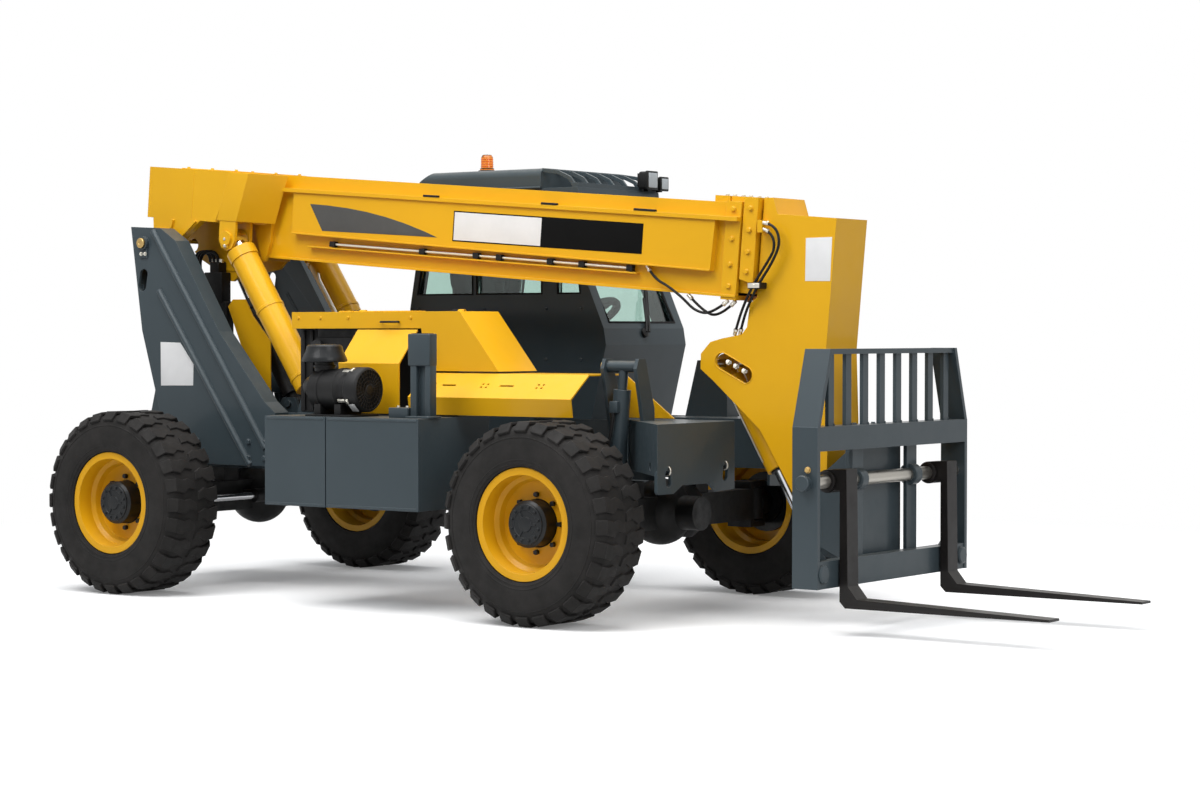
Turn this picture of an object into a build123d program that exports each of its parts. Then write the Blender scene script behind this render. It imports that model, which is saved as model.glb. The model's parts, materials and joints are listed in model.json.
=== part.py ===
"""Compact telehandler: rigid frame, side cab, three-section boom and fork carriage.

Millimetres, +X forward, +Y to the machine's left, +Z up, ground at Z = 0.
The origin is on the ground, midway between the boom's tail and the fork tips.
"""
import os
from math import cos, hypot, radians, sin, tan

from build123d import *

os.makedirs("parts", exist_ok=True)

# ---------------------------------------------------------------- overall layout
TAIL_REACH = 3420  # boom tail behind the front axle
FORK_REACH = 2520  # fork tips ahead of the front axle
WHEELBASE = 2865
FRONT_X = (TAIL_REACH - FORK_REACH) / 2
REAR_X = FRONT_X - WHEELBASE

# ---------------------------------------------------------------- wheels and axles
TYRE_RADIUS = 508
TYRE_WIDTH = 384
OVERALL_WIDTH = 2440
WHEEL_Y = (OVERALL_WIDTH - TYRE_WIDTH) / 2
LUG_HEIGHT = 30
LUG_COUNT = 20  # on each side of the tread
LUG_INNER = -14  # inner end, past the tread's middle
LUG_BEND = 92  # where the lug turns, from the tread's middle
LUG_SWEEP = 54  # furthest corner to either side of the lug's own middle
SHOULDER_RADIUS = 436
RIM_RADIUS = 280
RIM_WALL = 14
RIM_WIDTH = 343
DISC_INSET = 128  # wheel disc behind the rim's outer flange
DISC_WALL = 16
DISC_HOLE_RADIUS = 121
HUB_RADIUS = 117
HUB_NOSE = 95  # hub standing out of the disc
HUB_FLANGE_RADIUS = 165
STUD_COUNT = 8
STUD_RADIUS = 13
STUD_CIRCLE_RADIUS = 143
KINGPIN_Y = WHEEL_Y - 128
KINGPIN_RADIUS = 30
YOKE_HALF_HEIGHT = 125
YOKE_WALL = 32
BEAM_HALF_HEIGHT = 85
BEAM_HALF_DEPTH = 75
STEER_ARM = 170
STEER_ROD_RADIUS = 20
STEER_BARREL_RADIUS = 40
STEER_BARREL_HALF = 230
MOVING_GAP = 6

# ---------------------------------------------------------------- frame
RAIL_Y = 430
RAIL_WALL = 20
RAIL_LOW_TOP = 780  # rails dip under the cab and engine
FRAME_TOP = 1000
FRAME_BOTTOM = 680
FRAME_TAIL_X = FRONT_X - 3160
BOX_LOW_EDGE = 744  # underside of the front boxes
FRONT_BOX_X = FRONT_X + 570
FRONT_BOX_HALF = 860
SLOT_HALF = 140  # open slot between the two front boxes
CHAMFER_X = FRONT_X + 50
CHAMFER_Y = 350
BOX_WALL = 16

# ---------------------------------------------------------------- boom
PIVOT_X = FRONT_X - 3250
PIVOT_Z = 1965
PIVOT_RADIUS = 40
PIN_CLEARANCE = 0.08
BOOM_SLOPE = 4.55  # degrees, nose down as parked
OUTER_HALF = 170
OUTER_LOW = -35
OUTER_HIGH = 445
BOOM_WALL = 10
NEST_GAP = 15  # wear-pad gap between two sections
OUTER_START = 500
OUTER_END = 3850
MID_START = 720
MID_END = 3945
INNER_START = 740
HOUSING_HALF = 400
HOUSING_LOW = 150
HOUSING_REAR = -137
HOUSING_WALL = 16

UPRIGHT_INNER = 440
UPRIGHT_OUTER = 550
UPRIGHT_WALL = 16

LIFT_Y = 325
LIFT_TOP = (FRONT_X - 2746, 1987)
LIFT_FOOT = (FRONT_X - 2120, 1060)
LIFT_RADIUS = 80
LIFT_ROD_RADIUS = 45
EYE_RADIUS = 58
EYE_HALF = 46
LIFT_NECK = 100  # foot pin to the barrel's end cap
LIFT_BARREL = 1035  # foot pin to the gland
SLAVE_Y = -80
SLAVE_TOP = (FRONT_X - 2950, 1800)
SLAVE_FOOT = (FRONT_X - 2500, 1040)
SLAVE_RADIUS = 55
SLAVE_ROD_RADIUS = 28

# ---------------------------------------------------------------- carriage and forks
GOOSE_HALF = 150
GOOSE_WALL = 20
TILT_TOP = (FRONT_X + 420, 1290)
CARRIAGE_PIVOT = (FRONT_X + 1020, 550)
TILT_FOOT = (FRONT_X + 940, 390)
TILT_RADIUS = 55
TILT_ROD_RADIUS = 30
CARRIAGE_FRONT = FRONT_X + 1410
CARRIAGE_BACK = FRONT_X + 1270
CARRIAGE_HALF = 745
CARRIAGE_LOW = 230
CARRIAGE_HIGH = 1000
BACKREST_HIGH = 1370
BACKREST_HALF = 630
SLAT_COUNT = 8
CARRIAGE_UPRIGHT_Y = 268
FORK_Y = 500
FORK_WIDTH = 102
FORK_THICKNESS = 45
FORK_HEEL_Z = 130
FORK_SHAFT_Z = 735
FORK_SHAFT_RADIUS = 32

# ---------------------------------------------------------------- cab
CAB_RIGHT = 300
CAB_LEFT = 1080
CAB_FLOOR = 800
CAB_EAVES = 2250
CAB_WALL = 45
GLASS = 6


# ---------------------------------------------------------------- shared planes and helpers
def side_plane(y):
    """X to the right, Z up, drawn at this Y; extrusion goes to -Y."""
    return Plane(origin=(0, y, 0), x_dir=(1, 0, 0), z_dir=(0, -1, 0))


def shift(outline):
    """Side-view points counted from the front axle, moved to the machine's frame."""
    return [(FRONT_X + x, z) for x, z in outline]


def cross_plane(x):
    """Y to the right, Z up, drawn at this X; extrusion goes to +X."""
    return Plane(origin=(x, 0, 0), x_dir=(0, 1, 0), z_dir=(1, 0, 0))


def boom_plane(y):
    """Boom side view: origin on the pivot, x along the boom, y square to it."""
    slope = radians(BOOM_SLOPE)
    return Plane(
        origin=(PIVOT_X, y, PIVOT_Z), x_dir=(cos(slope), 0, -sin(slope)), z_dir=(0, -1, 0)
    )


def prism(plane, outline, amount, both=False):
    """A closed outline on a plane, extruded."""
    with BuildPart() as piece:
        with BuildSketch(plane):
            with BuildLine():
                Polyline(*outline, close=True)
            make_face()
        extrude(amount=amount, both=both)
    return piece.part


def side_plate(outline, y, thickness):
    """A plate seen from the side, centred on this Y."""
    return prism(side_plane(y), outline, thickness / 2, both=True)


def boom_plate(outline, y, thickness):
    """A plate drawn in the boom's side view, centred on this Y."""
    return prism(boom_plane(y), outline, thickness / 2, both=True)


def block(x0, x1, y0, y1, z0, z1):
    """A square block between two corners."""
    with BuildPart() as piece:
        with Locations(((x0 + x1) / 2, (y0 + y1) / 2, (z0 + z1) / 2)):
            Box(x1 - x0, y1 - y0, z1 - z0)
    return piece.part


def rod_between(start, end, radius):
    """A round bar between two points."""
    axis = Vector(*end) - Vector(*start)
    with BuildPart() as piece:
        with BuildSketch(Plane(origin=start, z_dir=axis)):
            Circle(radius)
        extrude(amount=axis.length)
    return piece.part


def cross_pin(x, z, y0, y1, radius):
    """A round pin across the machine."""
    return rod_between((x, y0, z), (x, y1, z), radius)


def save(builder, name):
    builder.part.label = name
    export_step(builder.part, f"parts/{name}.step")


# ---------------------------------------------------------------- tyre, rim and hub
# Each is made once about the Y axis at the origin, its outer side at +Y.
tread_radius = TYRE_RADIUS - LUG_HEIGHT
half_width = TYRE_WIDTH / 2
bead_half = RIM_WIDTH / 2 - RIM_WALL
lug_top = (TYRE_RADIUS**2 - LUG_SWEEP**2) ** 0.5
seat_radius = RIM_RADIUS - 22
lug_edge = half_width - 2
lug_plan = (  # around the tread, across the tread
    (-LUG_SWEEP, lug_edge), (6, lug_edge), (10, LUG_BEND + 8), (LUG_SWEEP, LUG_INNER + 10),
    (16, LUG_INNER - 8), (-46, LUG_BEND - 8),
)
lug_side = (
    (LUG_INNER - 12, SHOULDER_RADIUS - 20), (LUG_INNER - 12, lug_top), (half_width - 34, lug_top),
    (lug_edge, SHOULDER_RADIUS + 10), (lug_edge, SHOULDER_RADIUS - 20),
)

with BuildPart() as lug:
    with BuildSketch(Plane.YZ):
        with BuildLine():
            Polyline(*lug_side, close=True)
        make_face()
    extrude(amount=2 * LUG_SWEEP, both=True)
    with BuildSketch():
        with BuildLine():
            Polyline(*lug_plan, close=True)
        make_face()
    extrude(amount=2 * TYRE_RADIUS, mode=Mode.INTERSECT)
lug_outer = lug.part
lug_inner = lug_outer.mirror(Plane.XZ).rotate(Axis.Y, 180 / LUG_COUNT)

with BuildPart() as tyre_blank:
    with BuildSketch(Plane.YZ):
        with BuildLine():
            Polyline(
                (-half_width + 12, RIM_RADIUS + 4),
                (-half_width, (RIM_RADIUS + SHOULDER_RADIUS) / 2),
                (-half_width + 2, SHOULDER_RADIUS),
                (-half_width + 40, tread_radius - 8),
                (0, tread_radius),
                (half_width - 40, tread_radius - 8),
                (half_width - 2, SHOULDER_RADIUS),
                (half_width, (RIM_RADIUS + SHOULDER_RADIUS) / 2),
                (half_width - 12, RIM_RADIUS + 4),
                (bead_half - 2, RIM_RADIUS + 4),
                (bead_half - 2, seat_radius),
                (-bead_half + 2, seat_radius),
                (-bead_half + 2, RIM_RADIUS + 4),
                close=True,
            )
        make_face()
    revolve(axis=Axis.Y)
    for turn in range(LUG_COUNT):
        step = turn * 360 / LUG_COUNT
        add(lug_outer.rotate(Axis.Y, step))
        add(lug_inner.rotate(Axis.Y, step))

rim_half = RIM_WIDTH / 2
disc_out = rim_half - DISC_INSET
with BuildPart() as rim_blank:
    with BuildSketch(Plane.YZ):
        with BuildLine():
            Polyline(
                (rim_half, RIM_RADIUS),
                (rim_half - RIM_WALL, RIM_RADIUS),
                (rim_half - RIM_WALL, RIM_RADIUS - 22),
                (rim_half - 90, RIM_RADIUS - 28),
                (rim_half - 110, RIM_RADIUS - 48),
                (rim_half - 210, RIM_RADIUS - 48),
                (rim_half - 230, RIM_RADIUS - 28),
                (-rim_half + RIM_WALL, RIM_RADIUS - 22),
                (-rim_half + RIM_WALL, RIM_RADIUS),
                (-rim_half, RIM_RADIUS),
                (-rim_half, RIM_RADIUS - 22 - RIM_WALL),
                (rim_half - 225, RIM_RADIUS - 28 - RIM_WALL),
                (rim_half - 206, RIM_RADIUS - 48 - RIM_WALL),
                (disc_out - DISC_WALL, RIM_RADIUS - 48 - RIM_WALL),
                (disc_out - DISC_WALL, DISC_HOLE_RADIUS),
                (disc_out, DISC_HOLE_RADIUS),
                (disc_out, RIM_RADIUS - 60 - RIM_WALL),
                (rim_half - 100, RIM_RADIUS - 48 - RIM_WALL),
                (rim_half - 84, RIM_RADIUS - 28 - RIM_WALL),
                (rim_half, RIM_RADIUS - 22 - RIM_WALL),
                close=True,
            )
        make_face()
    revolve(axis=Axis.Y)
    with BuildSketch(Plane(origin=(0, disc_out + 1, 0), x_dir=(1, 0, 0), z_dir=(0, 1, 0))):
        with PolarLocations(STUD_CIRCLE_RADIUS, STUD_COUNT):
            Circle(STUD_RADIUS - 5 + PIN_CLEARANCE)
    extrude(amount=-DISC_WALL - 2, mode=Mode.SUBTRACT)

hub_back = disc_out - DISC_WALL - 60
with BuildPart() as hub_blank:
    with BuildSketch(Plane.YZ):
        with BuildLine():
            Polyline(
                (hub_back, 0),
                (hub_back, HUB_RADIUS),
                (disc_out - DISC_WALL - 24, HUB_RADIUS),
                (disc_out - DISC_WALL - 24, HUB_FLANGE_RADIUS),
                (disc_out - DISC_WALL, HUB_FLANGE_RADIUS),
                (disc_out - DISC_WALL, HUB_RADIUS),
                (disc_out + HUB_NOSE - 12, HUB_RADIUS),
                (disc_out + HUB_NOSE, HUB_RADIUS - 14),
                (disc_out + HUB_NOSE, 0),
                close=True,
            )
        make_face()
    revolve(axis=Axis.Y)
    with BuildSketch(Plane(origin=(0, disc_out, 0), x_dir=(1, 0, 0), z_dir=(0, 1, 0))):
        with PolarLocations(STUD_CIRCLE_RADIUS, STUD_COUNT):
            RegularPolygon(STUD_RADIUS, 6)
    extrude(amount=22)
    with BuildSketch(Plane(origin=(0, disc_out, 0), x_dir=(1, 0, 0), z_dir=(0, 1, 0))):
        with PolarLocations(STUD_CIRCLE_RADIUS, STUD_COUNT):
            Circle(STUD_RADIUS - 5)
    extrude(amount=-DISC_WALL - 4)

# ---------------------------------------------------------------- knuckles and wheels, corner by corner
CORNERS = (  # name, axle X, side (+1 left), arm direction along X
    ("fl", FRONT_X, 1, -1),
    ("fr", FRONT_X, -1, -1),
    ("rl", REAR_X, 1, 1),
    ("rr", REAR_X, -1, 1),
)
axle_z = TYRE_RADIUS
knuckle_half = YOKE_HALF_HEIGHT - YOKE_WALL - MOVING_GAP
hub_face = WHEEL_Y + hub_back - MOVING_GAP
arm_top = axle_z - 25
ARM_WALL = 20
for name, axle_x, side, arm_way in CORNERS:
    turn = 0 if side > 0 else 180
    for kind, blank in (("tyre", tyre_blank), ("rim", rim_blank), ("hub", hub_blank)):
        with BuildPart() as wheel_piece:
            with Locations(Location((axle_x, side * WHEEL_Y, axle_z), (0, 0, turn))):
                add(blank.part)
        save(wheel_piece, f"{kind}_{name}")

    with BuildPart() as knuckle:
        with BuildSketch(Plane.XY.offset(axle_z - knuckle_half)):
            with Locations((axle_x, side * KINGPIN_Y)):
                Circle(62)
        extrude(amount=2 * knuckle_half)
        add(rod_between((axle_x, side * KINGPIN_Y, axle_z), (axle_x, side * hub_face, axle_z), 70))
        for rise in (-1, 1):
            z_inner = axle_z + rise * (knuckle_half - 5)
            z_outer = axle_z + rise * (YOKE_HALF_HEIGHT - 8)
            add(
                rod_between(
                    (axle_x, side * KINGPIN_Y, z_inner),
                    (axle_x, side * KINGPIN_Y, z_outer),
                    KINGPIN_RADIUS,
                )
            )
        arm_end_x = axle_x + arm_way * STEER_ARM
        arm_outline = (
            (axle_x, side * (KINGPIN_Y + 50)),
            (arm_end_x, side * (KINGPIN_Y - 15)),
            (arm_end_x + arm_way * 25, side * (KINGPIN_Y - 40)),
            (arm_end_x, side * (KINGPIN_Y - 65)),
            (axle_x, side * (KINGPIN_Y - 50)),
        )
        add(prism(Plane.XY.offset(arm_top - ARM_WALL), arm_outline, ARM_WALL))
    save(knuckle, f"knuckle_{name}")

# ---------------------------------------------------------------- axles with their steering cylinders
AXLES = (("front", FRONT_X, -1), ("rear", REAR_X, 1))  # name, X, side of the steering gear
for name, axle_x, gear_way in AXLES:
    gear_x = axle_x + gear_way * STEER_ARM
    with BuildPart() as axle:
        add(
            block(
                axle_x - BEAM_HALF_DEPTH, axle_x + BEAM_HALF_DEPTH,
                -KINGPIN_Y + 110, KINGPIN_Y - 110,
                axle_z - BEAM_HALF_HEIGHT, axle_z + BEAM_HALF_HEIGHT,
            )
        )
        with Locations((axle_x, 0, axle_z)):
            Sphere(175)
        add(rod_between((axle_x, 0, axle_z), (axle_x - gear_way * 260, 0, axle_z), 90))
        for side in (-1, 1):
            add(
                block(
                    axle_x - BEAM_HALF_DEPTH, axle_x + BEAM_HALF_DEPTH,
                    min(side * (KINGPIN_Y - 140), side * (KINGPIN_Y - 108)),
                    max(side * (KINGPIN_Y - 140), side * (KINGPIN_Y - 108)),
                    axle_z - YOKE_HALF_HEIGHT, axle_z + YOKE_HALF_HEIGHT,
                )
            )
            for rise in (-1, 1):
                z_mid = axle_z + rise * (YOKE_HALF_HEIGHT - YOKE_WALL / 2)
                with BuildSketch(Plane.XY.offset(z_mid)):
                    with Locations((axle_x, side * KINGPIN_Y)):
                        Circle(66)
                    with Locations((axle_x, side * (KINGPIN_Y - 62))):
                        Rectangle(132, 124)
                extrude(amount=YOKE_WALL / 2, both=True)
                with Locations((axle_x, side * KINGPIN_Y, z_mid)):
                    Cylinder(KINGPIN_RADIUS + PIN_CLEARANCE, 2 * YOKE_WALL, mode=Mode.SUBTRACT)
            # saddle that carries the frame
            saddle = (side * 300 - 60, side * 300 + 60)
            add(block(axle_x - 60, axle_x + 60, *saddle, axle_z + 60, FRAME_BOTTOM))
        add(cross_pin(gear_x, axle_z, -STEER_BARREL_HALF, STEER_BARREL_HALF, STEER_BARREL_RADIUS))
        reach = sorted((gear_x, axle_x + gear_way * 40))
        for side in (-1, 1):
            y_mid = side * (STEER_BARREL_HALF - 30)
            add(block(*reach, y_mid - 20, y_mid + 20, axle_z - 30, axle_z + 30))
        with Locations(Location((gear_x, 0, axle_z), (90, 0, 0))):
            Cylinder(
                STEER_ROD_RADIUS + PIN_CLEARANCE, 2.5 * STEER_BARREL_HALF, mode=Mode.SUBTRACT
            )
    save(axle, f"{name}_axle")

    with BuildPart() as steer_link:
        rod_half = KINGPIN_Y - 100
        add(cross_pin(gear_x, axle_z, -rod_half, rod_half, STEER_ROD_RADIUS))
        for side in (-1, 1):
            with BuildSketch(Plane.XY.offset(arm_top + MOVING_GAP)):
                with Locations((gear_x, side * (KINGPIN_Y - 40))):
                    Circle(26)
                with Locations((gear_x, side * (KINGPIN_Y - 90))):
                    Rectangle(36, 100)
            extrude(amount=26)
    save(steer_link, f"steer_link_{name}")

# ---------------------------------------------------------------- main frame
FLANGE = 28
front_box_plan = (
    (CHAMFER_X, SLOT_HALF), (CHAMFER_X, CHAMFER_Y), (FRONT_BOX_X, FRONT_BOX_HALF),
    (FRONT_BOX_X, SLOT_HALF + FLANGE), (FRONT_BOX_X - FLANGE, SLOT_HALF),
)
front_box_inner = (
    (CHAMFER_X + BOX_WALL, SLOT_HALF + BOX_WALL), (CHAMFER_X + BOX_WALL, CHAMFER_Y - 7),
    (FRONT_BOX_X - BOX_WALL, FRONT_BOX_HALF - 38), (FRONT_BOX_X - BOX_WALL, SLOT_HALF + 34),
    (FRONT_BOX_X - FLANGE - 6, SLOT_HALF + BOX_WALL),
)
front_plate = (  # Y and Z of the plate that hangs below the box
    (FRONT_BOX_HALF, 770), (FRONT_BOX_HALF, 668), (FRONT_BOX_HALF - 12, 656), (718, 656),
    (640, 694), (400, 694), (340, 648), (SLOT_HALF + FLANGE, 655), (SLOT_HALF + FLANGE, 770),
)
TIE_SLOTS = ((764, 732, 84), (254, 742, 96))  # Y, Z, leaning angle
TIE_HOLE = (440, 732, 785)  # X from the axle, Y, Z on the slanting wall
TIE_HOLE_RADIUS = 22
CROSS_MEMBERS = (-3060, -2480, -1960, -1060, -260)  # X from the front axle
CROSS_HALF = 30
CROSS_INSET = 10  # above the rails' lower edge and below their dip
with BuildPart() as chassis_frame:
    for side in (-1, 1):
        rail = (
            (FRAME_TAIL_X, FRAME_BOTTOM), (FRONT_X + 80, FRAME_BOTTOM),
            (FRONT_X + 80, FRAME_TOP), (FRONT_X - 500, FRAME_TOP),
            (FRONT_X - 560, RAIL_LOW_TOP), (FRONT_X - 1990, RAIL_LOW_TOP),
            (FRONT_X - 2050, FRAME_TOP), (FRAME_TAIL_X, FRAME_TOP),
        )
        add(side_plate(rail, side * RAIL_Y, RAIL_WALL))
    for side in (-1, 1):
        plan = [(x, side * y) for x, y in front_box_plan]
        inner = [(x, side * y) for x, y in front_box_inner]
        add(prism(Plane.XY.offset(BOX_LOW_EDGE), plan, FRAME_TOP - BOX_LOW_EDGE))
        room = prism(Plane.XY.offset(BOX_LOW_EDGE - 1), inner, FRAME_TOP - BOX_LOW_EDGE - BOX_WALL)
        add(room, mode=Mode.SUBTRACT)
        plate = [(side * y, z) for y, z in front_plate]
        add(prism(cross_plane(FRONT_BOX_X - BOX_WALL), plate, BOX_WALL))
        for slot_y, slot_z, lean in TIE_SLOTS:
            with BuildSketch(cross_plane(FRONT_BOX_X - 2 * BOX_WALL)):
                with Locations(Location((side * slot_y, slot_z, 0), (0, 0, side * lean))):
                    SlotOverall(88, 46)
            extrude(amount=3 * BOX_WALL, mode=Mode.SUBTRACT)
        hole_x, hole_y, hole_z = TIE_HOLE
        wall_run = (FRONT_BOX_X - CHAMFER_X, FRONT_BOX_HALF - CHAMFER_Y)
        out_x, out_y = -wall_run[1] / 20, wall_run[0] / 20
        add(
            rod_between(
                (FRONT_X + hole_x - out_x, side * (hole_y - out_y), hole_z),
                (FRONT_X + hole_x + out_x, side * (hole_y + out_y), hole_z),
                TIE_HOLE_RADIUS,
            ),
            mode=Mode.SUBTRACT,
        )
        # inner cheek that ties the box to the rail
        cheek = ((-100, FRAME_BOTTOM), (90, FRAME_BOTTOM), (200, BOX_LOW_EDGE + 5),
                 (200, FRAME_TOP - 4), (-100, FRAME_TOP - 4))
        add(side_plate(shift(cheek), side * (SLOT_HALF + BOX_WALL / 2), BOX_WALL))
        add(
            block(
                FRONT_X - 80, CHAMFER_X + 10,
                min(side * SLOT_HALF, side * RAIL_Y), max(side * SLOT_HALF, side * RAIL_Y),
                FRAME_TOP - 30, FRAME_TOP,
            )
        )
    # bracket of the frame levelling cylinder
    for ear_x in (FRONT_X + 5, FRONT_X + 210):
        ear = ((-550, 1265), (-530, 1315), (-470, 1315), (-390, FRAME_TOP + 60), (-390, 800),
               (-450, 830))
        add(prism(cross_plane(ear_x), ear, 20))
    # tower on the left front box
    tower = ((-80, 990), (0, 1300), (120, 1300), (190, 1100), (190, 990))
    add(side_plate(shift(tower), 400, 110))
save(chassis_frame, "chassis_frame")

rail_inner = RAIL_Y - RAIL_WALL / 2
with BuildPart() as cross_members:
    for from_axle in CROSS_MEMBERS:
        x_mid = FRONT_X + from_axle
        member_x = (x_mid - CROSS_HALF, x_mid + CROSS_HALF)
        member_z = (FRAME_BOTTOM + CROSS_INSET, RAIL_LOW_TOP - CROSS_INSET)
        add(block(*member_x, -rail_inner, rail_inner, *member_z))
save(cross_members, "cross_members")

# ---------------------------------------------------------------- boom uprights and counterweight
upright_outline = (
    (-3357, 2062), (-3121, 2050), (-3000, 1975), (-2660, 1455), (-2310, 1060), (-2230, 1000),
    (-2230, 700), (-3060, 700), (-3130, 1000), (-3270, 1460),
)
upright_pocket = (
    (-3325, 1860), (-3080, 1850), (-2700, 1440), (-2350, 1040), (-2290, 740), (-3030, 740),
    (-3100, 1010), (-3240, 1465),
)
UPRIGHT_RIDGES = (  # top X, top Z, foot X, foot Z, both from the front axle
    (-3178, 2034, -2300, 800),
    (-3130, 1690, -2420, 705),
)
RIDGE_RADIUS = 19
PIN_HEAD = 22
CROSS_TUBE = (FRONT_X - 3000, 1150)
CROSS_TUBE_RADIUS = 60
for name, side in (("left", 1), ("right", -1)):
    y_mid = side * (UPRIGHT_OUTER + UPRIGHT_INNER) / 2
    with BuildPart() as upright:
        add(side_plate(shift(upright_outline), y_mid, UPRIGHT_OUTER - UPRIGHT_INNER))
        pocket_y = y_mid - side * UPRIGHT_WALL
        pocket = side_plate(shift(upright_pocket), pocket_y, UPRIGHT_OUTER - UPRIGHT_INNER)
        add(pocket, mode=Mode.SUBTRACT)
        with BuildSketch(side_plane(side * (UPRIGHT_OUTER + 5))):
            with Locations(Location((FRONT_X - 3261, 1753, 0), (0, 0, 80))):
                SlotOverall(130, 62)
        extrude(amount=side * (UPRIGHT_WALL + 25), mode=Mode.SUBTRACT)
        for top_x, top_z, foot_x, foot_z in UPRIGHT_RIDGES:
            ridge_y = side * UPRIGHT_OUTER
            add(
                rod_between((FRONT_X + top_x, ridge_y, top_z), (FRONT_X + foot_x, ridge_y, foot_z),
                            RIDGE_RADIUS)
            )
        pin_reach = (side * (HOUSING_HALF - 70), side * (UPRIGHT_OUTER + PIN_HEAD))
        add(cross_pin(PIVOT_X, PIVOT_Z, *pin_reach, PIVOT_RADIUS))
        tube_reach = (0, side * (UPRIGHT_OUTER - UPRIGHT_WALL / 2))
        add(cross_pin(*CROSS_TUBE, *tube_reach, CROSS_TUBE_RADIUS))
    save(upright, f"upright_{name}")

counterweight_side = (
    (-3240, 1250), (-TAIL_REACH + 12, 620), (-TAIL_REACH, 560), (-3200, 560), (-3160, FRAME_BOTTOM),
    (-3160, 1230), (-3180, 1250),
)
with BuildPart() as counterweight:
    add(side_plate(shift(counterweight_side), 0, 2 * UPRIGHT_INNER))
    for side in (-1, 1):
        corner = prism(
            Plane.XY.offset(500),
            ((-TAIL_REACH - 5 + FRONT_X, side * (UPRIGHT_INNER + 5)),
             (-TAIL_REACH + 110 + FRONT_X, side * (UPRIGHT_INNER + 5)),
             (-TAIL_REACH - 5 + FRONT_X, side * (UPRIGHT_INNER - 110))),
            900,
        )
        add(corner, mode=Mode.SUBTRACT)
save(counterweight, "counterweight")

# ---------------------------------------------------------------- boom outer section with its rear housing
slope = radians(BOOM_SLOPE)


def tube_section(start, end, half, low, high):
    """A square boom tube in the boom's own frame."""
    outline = ((start, low), (end, low), (end, high), (start, high))
    with BuildPart() as tube:
        add(boom_plate(outline, 0, 2 * half))
        bore = (
            (start - 1, low + BOOM_WALL), (end + 1, low + BOOM_WALL),
            (end + 1, high - BOOM_WALL), (start - 1, high - BOOM_WALL),
        )
        add(boom_plate(bore, 0, 2 * (half - BOOM_WALL)), mode=Mode.SUBTRACT)
    return tube.part


boom_deck = Plane(
    origin=(PIVOT_X, 0, PIVOT_Z), x_dir=(cos(slope), 0, -sin(slope)),
    z_dir=(sin(slope), 0, cos(slope)),
)


def deck_loft(low_plan, high_plan, low, high):
    """A straight-sided loft between two plans, each given for one side of the boom."""
    with BuildPart() as piece:
        for height, plan in ((low, low_plan), (high, high_plan)):
            with BuildSketch(boom_deck.offset(height)):
                with BuildLine():
                    Polyline(*plan, *[(s, -y) for s, y in reversed(plan)], close=True)
                make_face()
        loft(ruled=True)
    return piece.part


housing_low = (
    (HOUSING_REAR, HOUSING_HALF), (407, HOUSING_HALF), (516, 260), (640, OUTER_HALF + 10),
)
housing_high = (
    (HOUSING_REAR, HOUSING_HALF), (526, HOUSING_HALF), (686, 190), (690, OUTER_HALF + 10),
)
core_low = (
    (HOUSING_REAR + HOUSING_WALL, HOUSING_HALF - HOUSING_WALL), (400, HOUSING_HALF - HOUSING_WALL),
    (503, 250), (600, OUTER_HALF),
)
core_high = (
    (HOUSING_REAR + HOUSING_WALL, HOUSING_HALF - HOUSING_WALL), (508, HOUSING_HALF - HOUSING_WALL),
    (655, 180), (660, OUTER_HALF),
)
boom_side = (
    (OUTER_START, OUTER_LOW), (OUTER_END, OUTER_LOW), (OUTER_END, OUTER_HIGH),
    (OUTER_START, OUTER_HIGH),
)
COVER_DEPTH = 40  # side covers standing out of the boom's sides
COVER_REAR = 830
LEDGE_REAR = 735
LEDGE_LOW = 350
LEDGE_HIGH = 372
LUG_PLATE = 20
HEAD_TOP = 477  # top of the wear-pad blocks and hose guides
SLAVE_EYE_HALF = 38
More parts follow.
